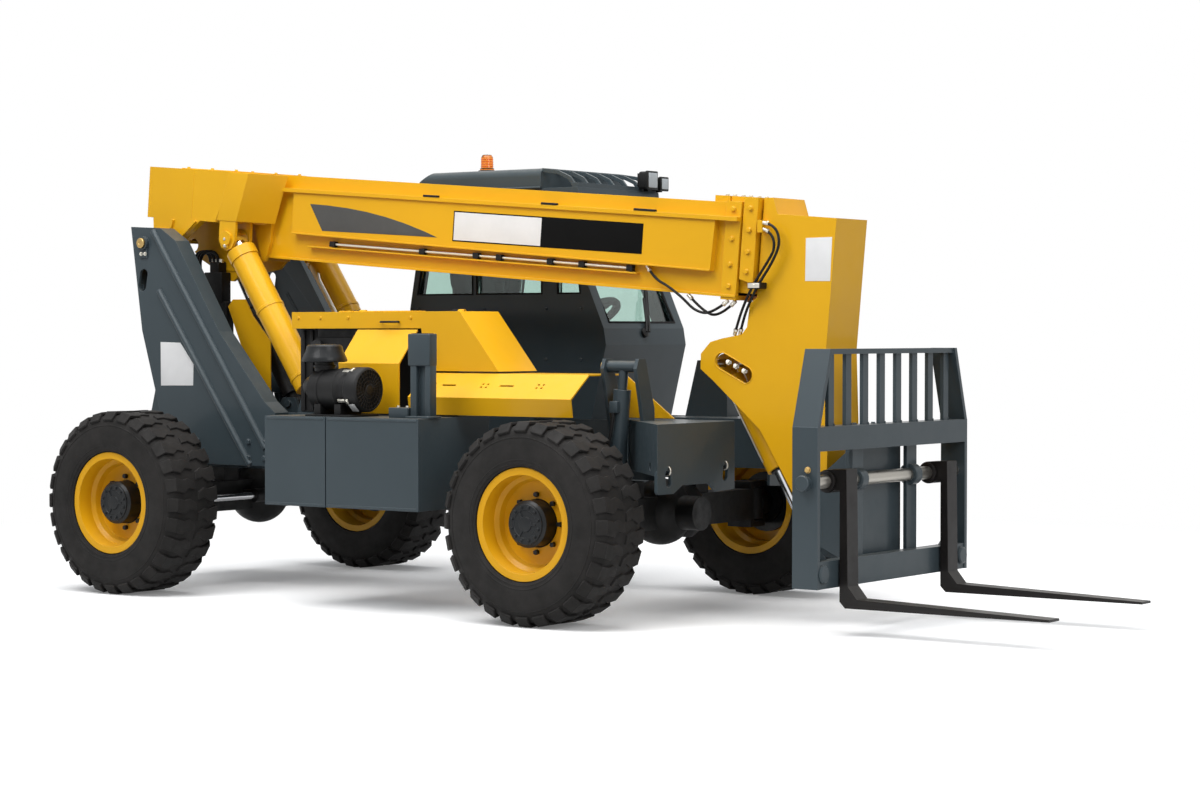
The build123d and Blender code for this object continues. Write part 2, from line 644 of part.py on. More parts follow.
with BuildPart() as boom_outer:
    add(deck_loft(housing_low, housing_high, HOUSING_LOW, OUTER_HIGH))
    add(deck_loft(core_low, core_high, HOUSING_LOW - 1, OUTER_HIGH - HOUSING_WALL), mode=Mode.SUBTRACT)
    add(boom_plate(boom_side, 0, 2 * OUTER_HALF))
    # belly between the ears, with the clevis of the slave cylinder
    belly = (
        (-60, HOUSING_LOW + 60), (-60, 20), (60, -75), (180, -125), (330, -135), (440, -110),
        (OUTER_START + 10, OUTER_LOW), (OUTER_START + 10, HOUSING_LOW + 60),
    )
    belly_box = (
        (-60, HOUSING_LOW + 60), (-60, 20), (60, -60), (OUTER_START, -60),
        (OUTER_START + 10, OUTER_LOW), (OUTER_START + 10, HOUSING_LOW + 60),
    )
    belly_core = (
        (-50, HOUSING_LOW + 70), (-42, 32), (66, -45), (OUTER_START - 10, -45),
        (OUTER_START, OUTER_LOW + 15), (OUTER_START, HOUSING_LOW + 70),
    )
    for side in (-1, 1):
        add(boom_plate(belly, side * (OUTER_HALF - 20 - HOUSING_WALL / 2), HOUSING_WALL))
        web = [(s, min(t, HOUSING_LOW + 10) if t > 0 else t) for s, t in belly]
        web[0] = (-60, OUTER_HIGH - 5)
        web[-1] = (OUTER_START + 10, OUTER_HIGH - 5)
        add(boom_plate(web, side * (OUTER_HALF - 20 - HOUSING_WALL / 2), HOUSING_WALL))
    add(boom_plate(belly_box, 0, 2 * (OUTER_HALF - 20)))
    add(boom_plate(belly_core, 0, 2 * (OUTER_HALF - 20 - HOUSING_WALL)), mode=Mode.SUBTRACT)
    for ear_way in (-1, 1):
        ear_y = SLAVE_Y + ear_way * (SLAVE_EYE_HALF + MOVING_GAP + LUG_PLATE / 2)
        clevis = ((200, -50), (262, -170), (290, -192), (334, -192), (362, -170), (420, -50))
        add(boom_plate(clevis, ear_y, LUG_PLATE))
    for side in (-1, 1):
        # pivot ears under the housing, stiffened by two gussets
        ear_y = side * (HOUSING_HALF - 25)
        ear = ((-90, HOUSING_LOW + 10), (-70, -30), (-30, -75), (35, -72), (75, -20),
               (300, HOUSING_LOW + 10))
        add(boom_plate(ear, ear_y, 50))
        for start, foot in (((70, HOUSING_LOW), (40, 40)), ((250, HOUSING_LOW), (90, 5))):
            gusset = (start, foot, (foot[0] + 14, foot[1] - 8), (start[0] + 16, start[1] - 6))
            add(boom_plate(gusset, side * (HOUSING_HALF - 10), 50))
        add(
            cross_pin(PIVOT_X, PIVOT_Z, side * (HOUSING_HALF - 60),
                      side * (UPRIGHT_INNER - MOVING_GAP), 80)
        )
        # front plates of the housing, running down to the boom's underside
        wing = ((516, HOUSING_LOW + 12), (545, 75), (600, -60), (622, -58), (655, 50),
                (655, HOUSING_LOW + 12))
        add(boom_plate(wing, side * (OUTER_HALF + 12), 24))
        # side cover over the hoses, and the ledge that runs along its top
        cover = ((COVER_REAR, 115), (3700, 90), (3712, 350), (COVER_REAR, 350))
        add(boom_plate(cover, side * (OUTER_HALF + COVER_DEPTH / 2 - 1), COVER_DEPTH + 2))
        ledge = ((LEDGE_REAR, LEDGE_LOW), (OUTER_END, LEDGE_LOW), (OUTER_END, LEDGE_HIGH),
                 (LEDGE_REAR, LEDGE_HIGH))
        add(boom_plate(ledge, side * (OUTER_HALF + COVER_DEPTH / 2), COVER_DEPTH + 24))
        strip = ((690, OUTER_LOW), (OUTER_END, OUTER_LOW), (OUTER_END, OUTER_LOW + 12),
                 (690, OUTER_LOW + 12))
        add(boom_plate(strip, side * (OUTER_HALF + 10), 24))
        # lugs of the lift cylinders, with a round boss at the pin
        lug_s = hypot(LIFT_TOP[0] - PIVOT_X, LIFT_TOP[1] - PIVOT_Z)
        for lug_way in (-1, 1):
            lug_y = side * LIFT_Y + lug_way * (EYE_HALF + MOVING_GAP + LUG_PLATE / 2)
            lug_plate = (
                (lug_s - 62, OUTER_HIGH - 5), (lug_s - 62, 50), (lug_s - 40, 8), (lug_s, -8),
                (lug_s + 40, 8), (lug_s + 62, 50), (lug_s + 62, OUTER_HIGH - 120),
            )
            add(boom_plate(lug_plate, lug_y, LUG_PLATE))
        boss_y = side * (LIFT_Y + EYE_HALF + MOVING_GAP + LUG_PLATE)
        add(cross_pin(*LIFT_TOP, boss_y - side * 5, boss_y + side * 14, 42))
    # collar at the front end
    collar = ((OUTER_END - 90, OUTER_LOW - 14), (OUTER_END, OUTER_LOW - 14),
              (OUTER_END, OUTER_HIGH + 6), (OUTER_END - 90, OUTER_HIGH + 6))
    add(boom_plate(collar, 0, 2 * (OUTER_HALF + 16)))
    for pad_start, pad_end in ((OUTER_END - 182, OUTER_END - 92), (OUTER_END - 80, OUTER_END)):
        pad = ((pad_start, OUTER_HIGH - 5), (pad_end, OUTER_HIGH - 5), (pad_end, HEAD_TOP),
               (pad_start, HEAD_TOP))
        add(boom_plate(pad, 0, 2 * OUTER_HALF - 30))
    # room for the mid section
    bore = (
        (OUTER_START + BOOM_WALL, OUTER_LOW + BOOM_WALL), (OUTER_END + 1, OUTER_LOW + BOOM_WALL),
        (OUTER_END + 1, OUTER_HIGH - BOOM_WALL), (OUTER_START + BOOM_WALL, OUTER_HIGH - BOOM_WALL),
    )
    add(boom_plate(bore, 0, 2 * (OUTER_HALF - BOOM_WALL)), mode=Mode.SUBTRACT)
    add(
        cross_pin(PIVOT_X, PIVOT_Z, -UPRIGHT_INNER, UPRIGHT_INNER, PIVOT_RADIUS + PIN_CLEARANCE),
        mode=Mode.SUBTRACT,
    )
save(boom_outer, "boom_outer")

step_in = BOOM_WALL + NEST_GAP
mid_half = OUTER_HALF - step_in
mid_low = OUTER_LOW + step_in
mid_high = OUTER_HIGH - step_in
with BuildPart() as boom_mid:
    add(tube_section(MID_START, MID_END, mid_half, mid_low, mid_high))
    mid_collar = ((OUTER_END + 12, 60), (MID_END, 40), (MID_END, HEAD_TOP), (OUTER_END + 12, HEAD_TOP))
    add(boom_plate(mid_collar, 0, 2 * (OUTER_HALF + 12)))
    collar_bore = (
        (OUTER_END + 11, mid_low + BOOM_WALL), (MID_END + 1, mid_low + BOOM_WALL),
        (MID_END + 1, mid_high - BOOM_WALL), (OUTER_END + 11, mid_high - BOOM_WALL),
    )
    add(boom_plate(collar_bore, 0, 2 * (mid_half - BOOM_WALL)), mode=Mode.SUBTRACT)
save(boom_mid, "boom_mid")

# ---------------------------------------------------------------- inner section with the gooseneck
inner_half = mid_half - step_in
inner_low = mid_low + step_in
inner_high = mid_high - step_in
goose_outline = (
    (728, 2050), (1157, 2014), (1098, 1362), (1110, 1000), (1100, 580),
    (945, 570), (895, 660), (711, 956), (430, 1200), (350, 1262),
    (352, 1340), (410, 1400), (480, 1418), (600, 1438), (632, 1475), (650, 1596), (692, 1626),
)
with BuildPart() as boom_inner:
    add(tube_section(INNER_START, 4120, inner_half, inner_low, inner_high))
    add(side_plate(shift(goose_outline), 0, 2 * GOOSE_HALF))
    inside = side_plate(
        [(FRONT_X + x, z) for x, z in (
            (330, 1100), (330, 1350), (470, 1370), (720, 1400), (760, 1500), (1000, 1500),
            (1000, 1000), (1010, 660), (850, 560), (600, 900),
        )], 0, 2 * (GOOSE_HALF - GOOSE_WALL),
    )
    add(inside, mode=Mode.SUBTRACT)
    hose_guide = ((3960, 396), (3960, HEAD_TOP), (4012, HEAD_TOP + 4), (4046, 396))
    add(boom_plate(hose_guide, 0, 2 * GOOSE_HALF))
    add(block(FRONT_X + 732, FRONT_X + 760, -GOOSE_HALF - 62, -GOOSE_HALF + 5, 1950, 2012))
    add(cross_pin(*CARRIAGE_PIVOT, -GOOSE_HALF, GOOSE_HALF, 85))
    add(
        cross_pin(*CARRIAGE_PIVOT, -GOOSE_HALF - 5, GOOSE_HALF + 5, 30 + PIN_CLEARANCE),
        mode=Mode.SUBTRACT,
    )
    with BuildSketch(side_plane(0)):
        with Locations(Location((FRONT_X + 552, 1268, 0), (0, 0, -26.7))):
            SlotOverall(240, 84)
    extrude(amount=GOOSE_HALF + 5, both=True, mode=Mode.SUBTRACT)
save(boom_inner, "boom_inner")


# ---------------------------------------------------------------- hoses on the boom
HOSE_RADIUS = 7


def boom_point(s, t, y):
    """A point given along and square to the boom, in the machine's frame."""
    return (PIVOT_X + s * cos(slope) + t * sin(slope), y, PIVOT_Z - s * sin(slope) + t * cos(slope))


def bend_radii(points):
    """The widest round bends that fit, one for each inner point."""
    radii = []
    for before, here, after in zip(points, points[1:], points[2:]):
        run_in = Vector(*here) - Vector(*before)
        run_out = Vector(*after) - Vector(*here)
        half_turn = radians(run_in.get_angle(run_out)) / 2
        radii.append(0.45 * min(run_in.length, run_out.length) / tan(half_turn))
    return radii


HOSES = {
    "hose_boom_lower": [boom_point(*point) for point in (
        (3300, 88, -190), (3350, 30, -196), (3450, -5, -206), (3545, -60, -206),
        (3620, -120, -200), (3712, -130, -188), (3800, -56, -178),
    )],
    "hose_boom_upper": [boom_point(*point) for point in (
        (3560, -41, -180), (3640, -112, -172), (3745, -146, -166), (3838, -56, -166),
    )],
    "hose_head_outer": [(FRONT_X + x, y, z) for x, y, z in (
        (761, -198, 1998), (826, -200, 1990), (866, -204, 1900), (818, -204, 1800),
        (730, -198, 1690), (655, -174, 1585), (606, -150, 1500), (578, -130, 1440),
    )],
    "hose_head_inner": [(FRONT_X + x, y, z) for x, y, z in (
        (764, -198, 1966), (812, -200, 1946), (834, -204, 1870), (784, -204, 1795),
        (700, -198, 1690), (627, -174, 1585), (578, -150, 1500), (546, -130, 1439),
    )],
}
for name, points in HOSES.items():
    with BuildPart() as hose:
        with BuildLine():
            route = FilletPolyline(*points, radius=bend_radii(points))
        with BuildSketch(Plane(origin=route @ 0, z_dir=route % 0)):
            Circle(HOSE_RADIUS)
        sweep(path=route)
    save(hose, name)

# ---------------------------------------------------------------- hydraulic cylinders
def cylinder_line(foot, top):
    """Unit direction and length from the barrel's pin to the rod's eye, in X and Z."""
    span = hypot(top[0] - foot[0], top[1] - foot[1])
    return (top[0] - foot[0]) / span, (top[1] - foot[1]) / span, span


def along(foot, top, y, distance):
    """The point this far from the barrel's pin."""
    way_x, way_z, span = cylinder_line(foot, top)
    return (foot[0] + way_x * distance, y, foot[1] + way_z * distance)


def barrel_solid(foot, top, y, radius, rod_radius, neck, length, eye, eye_half, pin):
    """Barrel with an eye at its pin and a bore for the rod."""
    with BuildPart() as barrel:
        add(cross_pin(*foot, y - eye_half, y + eye_half, eye))
        add(rod_between(along(foot, top, y, 10), along(foot, top, y, neck + 5), eye_half - 2))
        add(rod_between(along(foot, top, y, neck), along(foot, top, y, length - 60), radius))
        gland = rod_between(
            along(foot, top, y, length - 62), along(foot, top, y, length), radius + 6
        )
        add(gland)
        bore = rod_between(
            along(foot, top, y, neck + 40), along(foot, top, y, length + 5),
            rod_radius + PIN_CLEARANCE,
        )
        add(bore, mode=Mode.SUBTRACT)
        add(
            cross_pin(*foot, y - eye_half - 5, y + eye_half + 5, pin + PIN_CLEARANCE),
            mode=Mode.SUBTRACT,
        )
    return barrel.part


def rod_solid(foot, top, y, rod_radius, inner_end, eye, eye_half):
    """Plunger rod with the eye at its free end."""
    span = cylinder_line(foot, top)[2]
    with BuildPart() as plunger:
        add(rod_between(along(foot, top, y, inner_end), along(foot, top, y, span - 20), rod_radius))
        add(cross_pin(*top, y - eye_half, y + eye_half, eye))
    return plunger.part


PIN_RADIUS = 30
SMALL_PIN = 20
TILT_NECK = 80
TILT_BARREL = 620
TILT_ROD_START = 370  # parked, from the barrel's pin
TILT_EYE_HALF = 32
SLAVE_NECK = 60
SLAVE_BARREL = 690

with BuildPart() as lift_barrels:
    for side in (-1, 1):
        add(
            barrel_solid(LIFT_FOOT, LIFT_TOP, side * LIFT_Y, LIFT_RADIUS, LIFT_ROD_RADIUS,
                         LIFT_NECK, LIFT_BARREL, EYE_RADIUS, EYE_HALF, PIN_RADIUS)
        )
save(lift_barrels, "lift_barrels")

with BuildPart() as lift_rods:
    for side in (-1, 1):
        add(
            rod_solid(LIFT_FOOT, LIFT_TOP, side * LIFT_Y, LIFT_ROD_RADIUS, LIFT_NECK + 50,
                      EYE_RADIUS, EYE_HALF)
        )
save(lift_rods, "lift_rods")

with BuildPart() as slave_barrel:
    add(
        barrel_solid(SLAVE_FOOT, SLAVE_TOP, SLAVE_Y, SLAVE_RADIUS, SLAVE_ROD_RADIUS,
                     SLAVE_NECK, SLAVE_BARREL, 40, SLAVE_EYE_HALF, SMALL_PIN)
    )
save(slave_barrel, "slave_barrel")

with BuildPart() as slave_rod:
    add(
        rod_solid(SLAVE_FOOT, SLAVE_TOP, SLAVE_Y, SLAVE_ROD_RADIUS, SLAVE_NECK + 50, 38,
                  SLAVE_EYE_HALF)
    )
save(slave_rod, "slave_rod")

with BuildPart() as tilt_barrel:
    add(
        barrel_solid(TILT_TOP, TILT_FOOT, 0, TILT_RADIUS, TILT_ROD_RADIUS, TILT_NECK,
                     TILT_BARREL, 50, TILT_EYE_HALF, SMALL_PIN)
    )
save(tilt_barrel, "tilt_barrel")

with BuildPart() as tilt_rod:
    add(
        rod_solid(TILT_TOP, TILT_FOOT, 0, TILT_ROD_RADIUS, TILT_ROD_START, 46, TILT_EYE_HALF)
    )
save(tilt_rod, "tilt_rod")

# lugs on the frame that hold the lift and slave cylinders
FEET = (  # foot pin, Y, half-width of the eye, pin radius
    (LIFT_FOOT, -LIFT_Y, EYE_HALF, PIN_RADIUS),
    (LIFT_FOOT, LIFT_Y, EYE_HALF, PIN_RADIUS),
    (SLAVE_FOOT, SLAVE_Y, SLAVE_EYE_HALF, SMALL_PIN),
)
FOOT_DECK = FRAME_TOP - 80
with BuildPart() as lift_feet:
    for foot, y, eye_half, pin in FEET:
        for ear_way in (-1, 1):
            ear_y = y + ear_way * (eye_half + MOVING_GAP + LUG_PLATE / 2)
            ear = (
                (foot[0] - 110, FOOT_DECK), (foot[0] - 50, foot[1] + 35),
                (foot[0] + 50, foot[1] + 35), (foot[0] + 110, FOOT_DECK),
            )
            add(side_plate(ear, ear_y, LUG_PLATE))
        reach = eye_half + MOVING_GAP + LUG_PLATE + 12
        add(cross_pin(*foot, y - reach, y + reach, pin))
    deck_y = RAIL_Y - RAIL_WALL / 2
    deck_x = (SLAVE_FOOT[0] - 130, LIFT_FOOT[0] + 120)
    add(block(*deck_x, -deck_y, deck_y, FOOT_DECK - 20, FOOT_DECK + 5))
save(lift_feet, "lift_feet")

# ---------------------------------------------------------------- frame levelling cylinder
LEVEL_Y = -500
LEVEL_TOP = (FRONT_X + 118, 1275)
LEVEL_FOOT = (FRONT_X + 60, 650)
LEVEL_RADIUS = 45
LEVEL_ROD_RADIUS = 24
with BuildPart() as level_cylinder:
    add(
        rod_between(along(LEVEL_FOOT, LEVEL_TOP, LEVEL_Y, 0),
                    along(LEVEL_FOOT, LEVEL_TOP, LEVEL_Y, 510), LEVEL_RADIUS)
    )
    add(
        rod_between(along(LEVEL_FOOT, LEVEL_TOP, LEVEL_Y, 500),
                    along(LEVEL_FOOT, LEVEL_TOP, LEVEL_Y, 620), LEVEL_ROD_RADIUS)
    )
    add(rod_between((FRONT_X + 25, LEVEL_Y, 1275), (FRONT_X + 210, LEVEL_Y, 1275), 30))
save(level_cylinder, "level_cylinder")

# ---------------------------------------------------------------- side box with battery and oil tank
BOX_OUTER = 1160
BOX_INNER = RAIL_Y + RAIL_WALL / 2
BOX_LOW = 540
BOX_TOP = 1010
BOX_REAR_X = FRONT_X - 1740
BOX_SEAM_X = FRONT_X - 1310
BOX_FRONT_X = FRONT_X - 690
SEAM = 8
with BuildPart() as side_box:
    rear_plan = (
        (BOX_REAR_X, -BOX_OUTER), (BOX_SEAM_X - SEAM, -BOX_OUTER),
        (BOX_SEAM_X - SEAM, -BOX_INNER), (BOX_REAR_X, -BOX_INNER),
    )
    front_plan = (
        (BOX_SEAM_X, -BOX_OUTER), (BOX_FRONT_X, -BOX_OUTER),
        (BOX_FRONT_X - 110, -BOX_INNER), (BOX_SEAM_X, -BOX_INNER),
    )
    add(prism(Plane.XY.offset(BOX_LOW), rear_plan, BOX_TOP - BOX_LOW))
    add(prism(Plane.XY.offset(BOX_LOW), front_plan, BOX_TOP - BOX_LOW))
    engine_room = (BOX_REAR_X - 1, FRONT_X - 850, -640, -BOX_INNER + 1, RAIL_LOW_TOP, BOX_TOP + 1)
    add(block(*engine_room), mode=Mode.SUBTRACT)
save(side_box, "side_box")

with BuildPart() as fuel_tank:
    add(block(FRONT_X - 1900, FRONT_X - 760, BOX_INNER, 1060, 500, CAB_FLOOR - 20))
    add(block(FRONT_X - 1500, FRONT_X - 1000, 1050, 1160, 520, 545))
save(fuel_tank, "fuel_tank")

# ---------------------------------------------------------------- engine under its hood
HOOD_INNER = -310
HOOD_OUTER = -640
COWL_OUTER = -800
HOOD_TOP = 1560
SHEET = 8
ENGINE = (-1880, -1080, -600, -345, RAIL_LOW_TOP, 1420)  # X0, X1, Y0, Y1, Z0, Z1 from the front axle
HOOD_AXIS = (HOOD_INNER, HOOD_TOP)  # Y, Z
HOOD_HINGES = (-1850, -1150)  # X from the front axle
HINGE_LENGTH = 40
HINGE_RADIUS = 14
HINGE_PIN = 7
with BuildPart() as engine:
    add(block(FRONT_X + ENGINE[0], FRONT_X + ENGINE[1], *ENGINE[2:]))
    for hinge_x in HOOD_HINGES:
        start, end = FRONT_X + hinge_x, FRONT_X + hinge_x + HINGE_LENGTH
        add(block(start, end, HOOD_INNER - 40, HOOD_INNER + 4, ENGINE[5] - 60, HOOD_TOP - 4))
        add(rod_between((start, *HOOD_AXIS), (end, *HOOD_AXIS), HINGE_RADIUS))
        add(rod_between((start, *HOOD_AXIS), (end + HINGE_LENGTH, *HOOD_AXIS), HINGE_PIN))
save(engine, "engine")

hood_profile = (
    (-2020, HOOD_TOP), (-840, HOOD_TOP), (-580, 1245), (-1060, 1245), (-1100, 1470), (-2020, 1470),
)
hood_inside = (
    (-2020 + SHEET, HOOD_TOP - SHEET), (-845, HOOD_TOP - SHEET), (-592, 1244), (-1060, 1244),
    (-1060, 1240), (-2020 + SHEET, 1240),
)
with BuildPart() as engine_hood:
    y_mid = (HOOD_INNER + HOOD_OUTER) / 2
    hood_width = HOOD_INNER - HOOD_OUTER
    add(side_plate(shift(hood_profile), y_mid, hood_width))
    add(
        side_plate(shift(hood_inside), y_mid + SHEET, hood_width),
        mode=Mode.SUBTRACT,
    )
    for hinge_x in HOOD_HINGES:
        knuckle_x = FRONT_X + hinge_x + HINGE_LENGTH + 2
        knuckle_end = knuckle_x + HINGE_LENGTH
        add(block(knuckle_x - HINGE_LENGTH - 8, knuckle_x, HOOD_INNER - 50, HOOD_INNER + 1,
                  HOOD_TOP - 30, HOOD_TOP + 1), mode=Mode.SUBTRACT)
        add(rod_between((knuckle_x, *HOOD_AXIS), (knuckle_end, *HOOD_AXIS), HINGE_RADIUS))
        add(rod_between((knuckle_x - 1, *HOOD_AXIS), (knuckle_end + 1, *HOOD_AXIS),
                        HINGE_PIN + PIN_CLEARANCE), mode=Mode.SUBTRACT)
save(engine_hood, "engine_hood")

rear_section = ((HOOD_OUTER - 3, 1464), (COWL_OUTER, 1285), (COWL_OUTER, 1020),
                (COWL_OUTER + SHEET, 1020), (COWL_OUTER + SHEET, 1282), (HOOD_OUTER - 3, 1454))
nose_section = ((HOOD_INNER, 1235), (HOOD_OUTER, 1235), (COWL_OUTER, 1112), (COWL_OUTER + 15, 1020),
                (COWL_OUTER + 15 + SHEET, 1020), (COWL_OUTER + SHEET + 2, 1109),
                (HOOD_OUTER + 3, 1227), (HOOD_INNER, 1227))
COWL_SLOTS = (-800, -420)  # X from the front axle
COWL_HOLES = (-960, -610, -250)
CYLINDER_GUARD_Y = 418


def cowl_cutter(x, places, length, height):
    """Square punches through the nose's slope, placed along and down the slope."""
    slope_mid = (FRONT_X + x, (HOOD_OUTER + COWL_OUTER) / 2, (1235 + 1112) / 2)
    slope_plane = Plane(origin=slope_mid, x_dir=(1, 0, 0), z_dir=(0, -(1235 - 1112), 160))
    with BuildPart() as punch:
        with BuildSketch(slope_plane):
            with Locations(*places):
                Rectangle(length, height)
        extrude(amount=25, both=True)
    return punch.part


with BuildPart() as engine_cowl:
    add(prism(cross_plane(FRONT_X - 1540), rear_section, 1540 - 1120))
    add(prism(cross_plane(FRONT_X - 1060), nose_section, 1060))
    guard = ((0, 1230), (300, 1010), (0, 1010))
    add(side_plate(shift(guard), HOOD_INNER - SHEET / 2, SHEET))
    for slot_x in COWL_SLOTS:
        add(cowl_cutter(slot_x, ((-45, 0),), 90, 12), mode=Mode.SUBTRACT)
    for group_x in COWL_HOLES:
        add(cowl_cutter(group_x, ((-16, -13), (16, -13), (-16, 13), (16, 13)), 14, 10),
            mode=Mode.SUBTRACT)
    # guard beside the lift cylinder
    panel = ((-2590, 1250), (-2475, 1640), (-2341, 1640), (-2341, 1034), (-2475, 1060))
    add(side_plate(shift(panel), -CYLINDER_GUARD_Y, SHEET))
save(engine_cowl, "engine_cowl")

AIR_Y = -990
AIR_Z = 1155
CANISTER = (  # X from the front axle, radius
    (-1580, 0), (-1580, 98), (-1562, 120), (-1484, 120), (-1484, 131), (-1464, 131), (-1464, 120),
    (-1112, 120), (-1112, 133), (-1084, 133), (-1070, 110), (-1070, 84), (-1084, 76), (-1084, 0),
)
with BuildPart() as air_cleaner:
    with BuildSketch(Plane(origin=(FRONT_X, AIR_Y, AIR_Z), x_dir=(1, 0, 0), z_dir=(0, -1, 0))):
        with BuildLine():
            Polyline(*CANISTER, close=True)
        make_face()
    revolve(axis=Axis((FRONT_X, AIR_Y, AIR_Z), (1, 0, 0)))
    add(rod_between((FRONT_X - 1455, AIR_Y, AIR_Z), (FRONT_X - 1455, AIR_Y, 1300), 92))
    with BuildSketch(Plane(origin=(FRONT_X - 1455, AIR_Y, 0), x_dir=(1, 0, 0), z_dir=(0, -1, 0))):
        with BuildLine():
            Polyline((0, 1290), (172, 1290), (172, 1306), (120, 1382), (0, 1390), close=True)
        make_face()
    revolve(axis=Axis((FRONT_X - 1455, AIR_Y, 0), (0, 0, 1)))
    for foot_x in (-1400, -1200):
        add(block(FRONT_X + foot_x, FRONT_X + foot_x + 50, AIR_Y - 90, AIR_Y + 90, BOX_TOP,
                  AIR_Z - 80))
save(air_cleaner, "air_cleaner")

with BuildPart() as exhaust_stack:
    add(block(FRONT_X - 855, FRONT_X - 690, -1070, -930, 1276, 1446))
    add(block(FRONT_X - 850, FRONT_X - 690, -1070, -930, BOX_TOP, 1280))
    add(block(FRONT_X - 815, FRONT_X - 725, -1080, -1000, BOX_TOP + 20, 1276), mode=Mode.SUBTRACT)
save(exhaust_stack, "exhaust_stack")

# ---------------------------------------------------------------- cab
cab_profile = (
    (-1980, CAB_FLOOR), (-1960, 1585), (-1840, CAB_EAVES), (-760, CAB_EAVES), (-690, 1706),
    (-585, 1471), (-570, 1380), (-667, 983), (-720, CAB_FLOOR),
)
cab_inside = (
    (-1980 + CAB_WALL, CAB_FLOOR + CAB_WALL), (-1960 + CAB_WALL, 1585),
    (-1840 + CAB_WALL, CAB_EAVES - CAB_WALL), (-760 - CAB_WALL, CAB_EAVES - CAB_WALL),
    (-690 - CAB_WALL, 1700), (-585 - CAB_WALL, 1465), (-570 - CAB_WALL, 1380),
    (-667 - CAB_WALL, 990), (-720 - CAB_WALL, CAB_FLOOR + CAB_WALL),
)
cab_mid = (CAB_RIGHT + CAB_LEFT) / 2
cab_width = CAB_LEFT - CAB_RIGHT
SIDE_LIGHTS = (
    ((-1905, 1665), (-1500, 1665), (-1500, 2180), (-1800, 2180)),
    ((-1470, 1665), (-1010, 1665), (-1010, 2180), (-1470, 2180)),
    ((-900, 1665), (-745, 1665), (-808, 2180), (-900, 2180)),
)
door_outline = ((-1850, 870), (-1830, 1585), (-1745, 2190), (-870, 2190), (-790, 1706),
                (-690, 1471), (-680, 1380), (-760, 1000), (-790, 870))
DOOR_AXIS = (FRONT_X - 1868, CAB_LEFT + 16)
DOOR_HINGES = (1050, 1500)


with BuildPart() as cab_shell:
    add(side_plate(shift(cab_profile), cab_mid, cab_width))
    add(side_plate(shift(cab_inside), cab_mid, cab_width - 2 * CAB_WALL), mode=Mode.SUBTRACT)
    for light in SIDE_LIGHTS:
        add(side_plate(shift(light), CAB_RIGHT, 3 * CAB_WALL), mode=Mode.SUBTRACT)
    add(side_plate(shift(door_outline), CAB_LEFT, 3 * CAB_WALL), mode=Mode.SUBTRACT)
    front_window = (CAB_RIGHT + 70, CAB_LEFT - 70, 1500, 2180)
    rear_window = (CAB_RIGHT + 70, CAB_LEFT - 70, 1640, 2160)
    add(block(FRONT_X - 950, FRONT_X - 300, *front_window), mode=Mode.SUBTRACT)
    add(block(FRONT_X - 2100, FRONT_X - 1700, *rear_window), mode=Mode.SUBTRACT)
    for hinge_z in DOOR_HINGES:
        leaf_low = hinge_z - 42
        add(rod_between((*DOOR_AXIS, leaf_low), (*DOOR_AXIS, hinge_z - 2), HINGE_RADIUS))
        add(rod_between((*DOOR_AXIS, leaf_low), (*DOOR_AXIS, hinge_z + 38), HINGE_PIN))
        add(block(DOOR_AXIS[0] - 40, DOOR_AXIS[0], CAB_LEFT - 1, DOOR_AXIS[1] + HINGE_RADIUS,
                  leaf_low, hinge_z - 2))
save(cab_shell, "cab_shell")

windshield = ((-608, 1465), (-713, 1706), (-783, 2240), (-789, 2240), (-719, 1706), (-614, 1465))
rear_pane = ((-1940, 1585), (-1821, CAB_EAVES), (-1815, CAB_EAVES), (-1934, 1585))
with BuildPart() as cab_glass:
    add(side_plate(shift(windshield), cab_mid, cab_width))
    add(side_plate(shift(rear_pane), cab_mid, cab_width))
    with BuildPart(mode=Mode.PRIVATE) as front_hole:
        add(block(FRONT_X - 950, FRONT_X - 500, front_window[0] + 1, front_window[1] - 1,
                  front_window[2] + 1, front_window[3] - 1))
        add(block(FRONT_X - 2100, FRONT_X - 1700, rear_window[0] + 1, rear_window[1] - 1,
                  rear_window[2] + 1, rear_window[3] - 1))
    add(front_hole.part, mode=Mode.INTERSECT)
    for light in SIDE_LIGHTS:
        with BuildPart(mode=Mode.PRIVATE) as pane:
            with BuildSketch(side_plane(CAB_RIGHT + CAB_WALL / 2)):
                with BuildLine():
                    Polyline(*shift(light), close=True)
                make_face()
                offset(amount=-1, kind=Kind.INTERSECTION, mode=Mode.REPLACE)
            extrude(amount=GLASS / 2, both=True)
        add(pane.part)
save(cab_glass, "cab_glass")

door_leaf = ((-1845, 875), (-1825, 1585), (-1741, 2185), (-873, 2185), (-795, 1706),
             (-695, 1471), (-686, 1380), (-765, 1001), (-794, 875))
door_light = ((-1760, 1500), (-1680, 2120), (-925, 2120), (-860, 1706), (-775, 1500))
with BuildPart() as cab_door:
    add(side_plate(shift(door_leaf), CAB_LEFT - CAB_WALL / 2, CAB_WALL))
    add(side_plate(shift(door_light), CAB_LEFT, 3 * CAB_WALL), mode=Mode.SUBTRACT)
    add(block(FRONT_X - 880, FRONT_X - 850, CAB_LEFT - 1, CAB_LEFT + 35, 1180, 1330))
    for hinge_z in DOOR_HINGES:
        barrel_top = (*DOOR_AXIS, hinge_z + 40)
        add(rod_between((*DOOR_AXIS, hinge_z), barrel_top, HINGE_RADIUS))
        add(block(DOOR_AXIS[0], FRONT_X - 1790, CAB_LEFT + MOVING_GAP, DOOR_AXIS[1] + HINGE_RADIUS,
                  hinge_z, hinge_z + 40))
        add(block(FRONT_X - 1822, FRONT_X - 1790, CAB_LEFT - 1, CAB_LEFT + 2 * MOVING_GAP,
                  hinge_z, hinge_z + 40))
        add(rod_between((*DOOR_AXIS, hinge_z - 1), barrel_top, HINGE_PIN + PIN_CLEARANCE),
            mode=Mode.SUBTRACT)
save(cab_door, "cab_door")

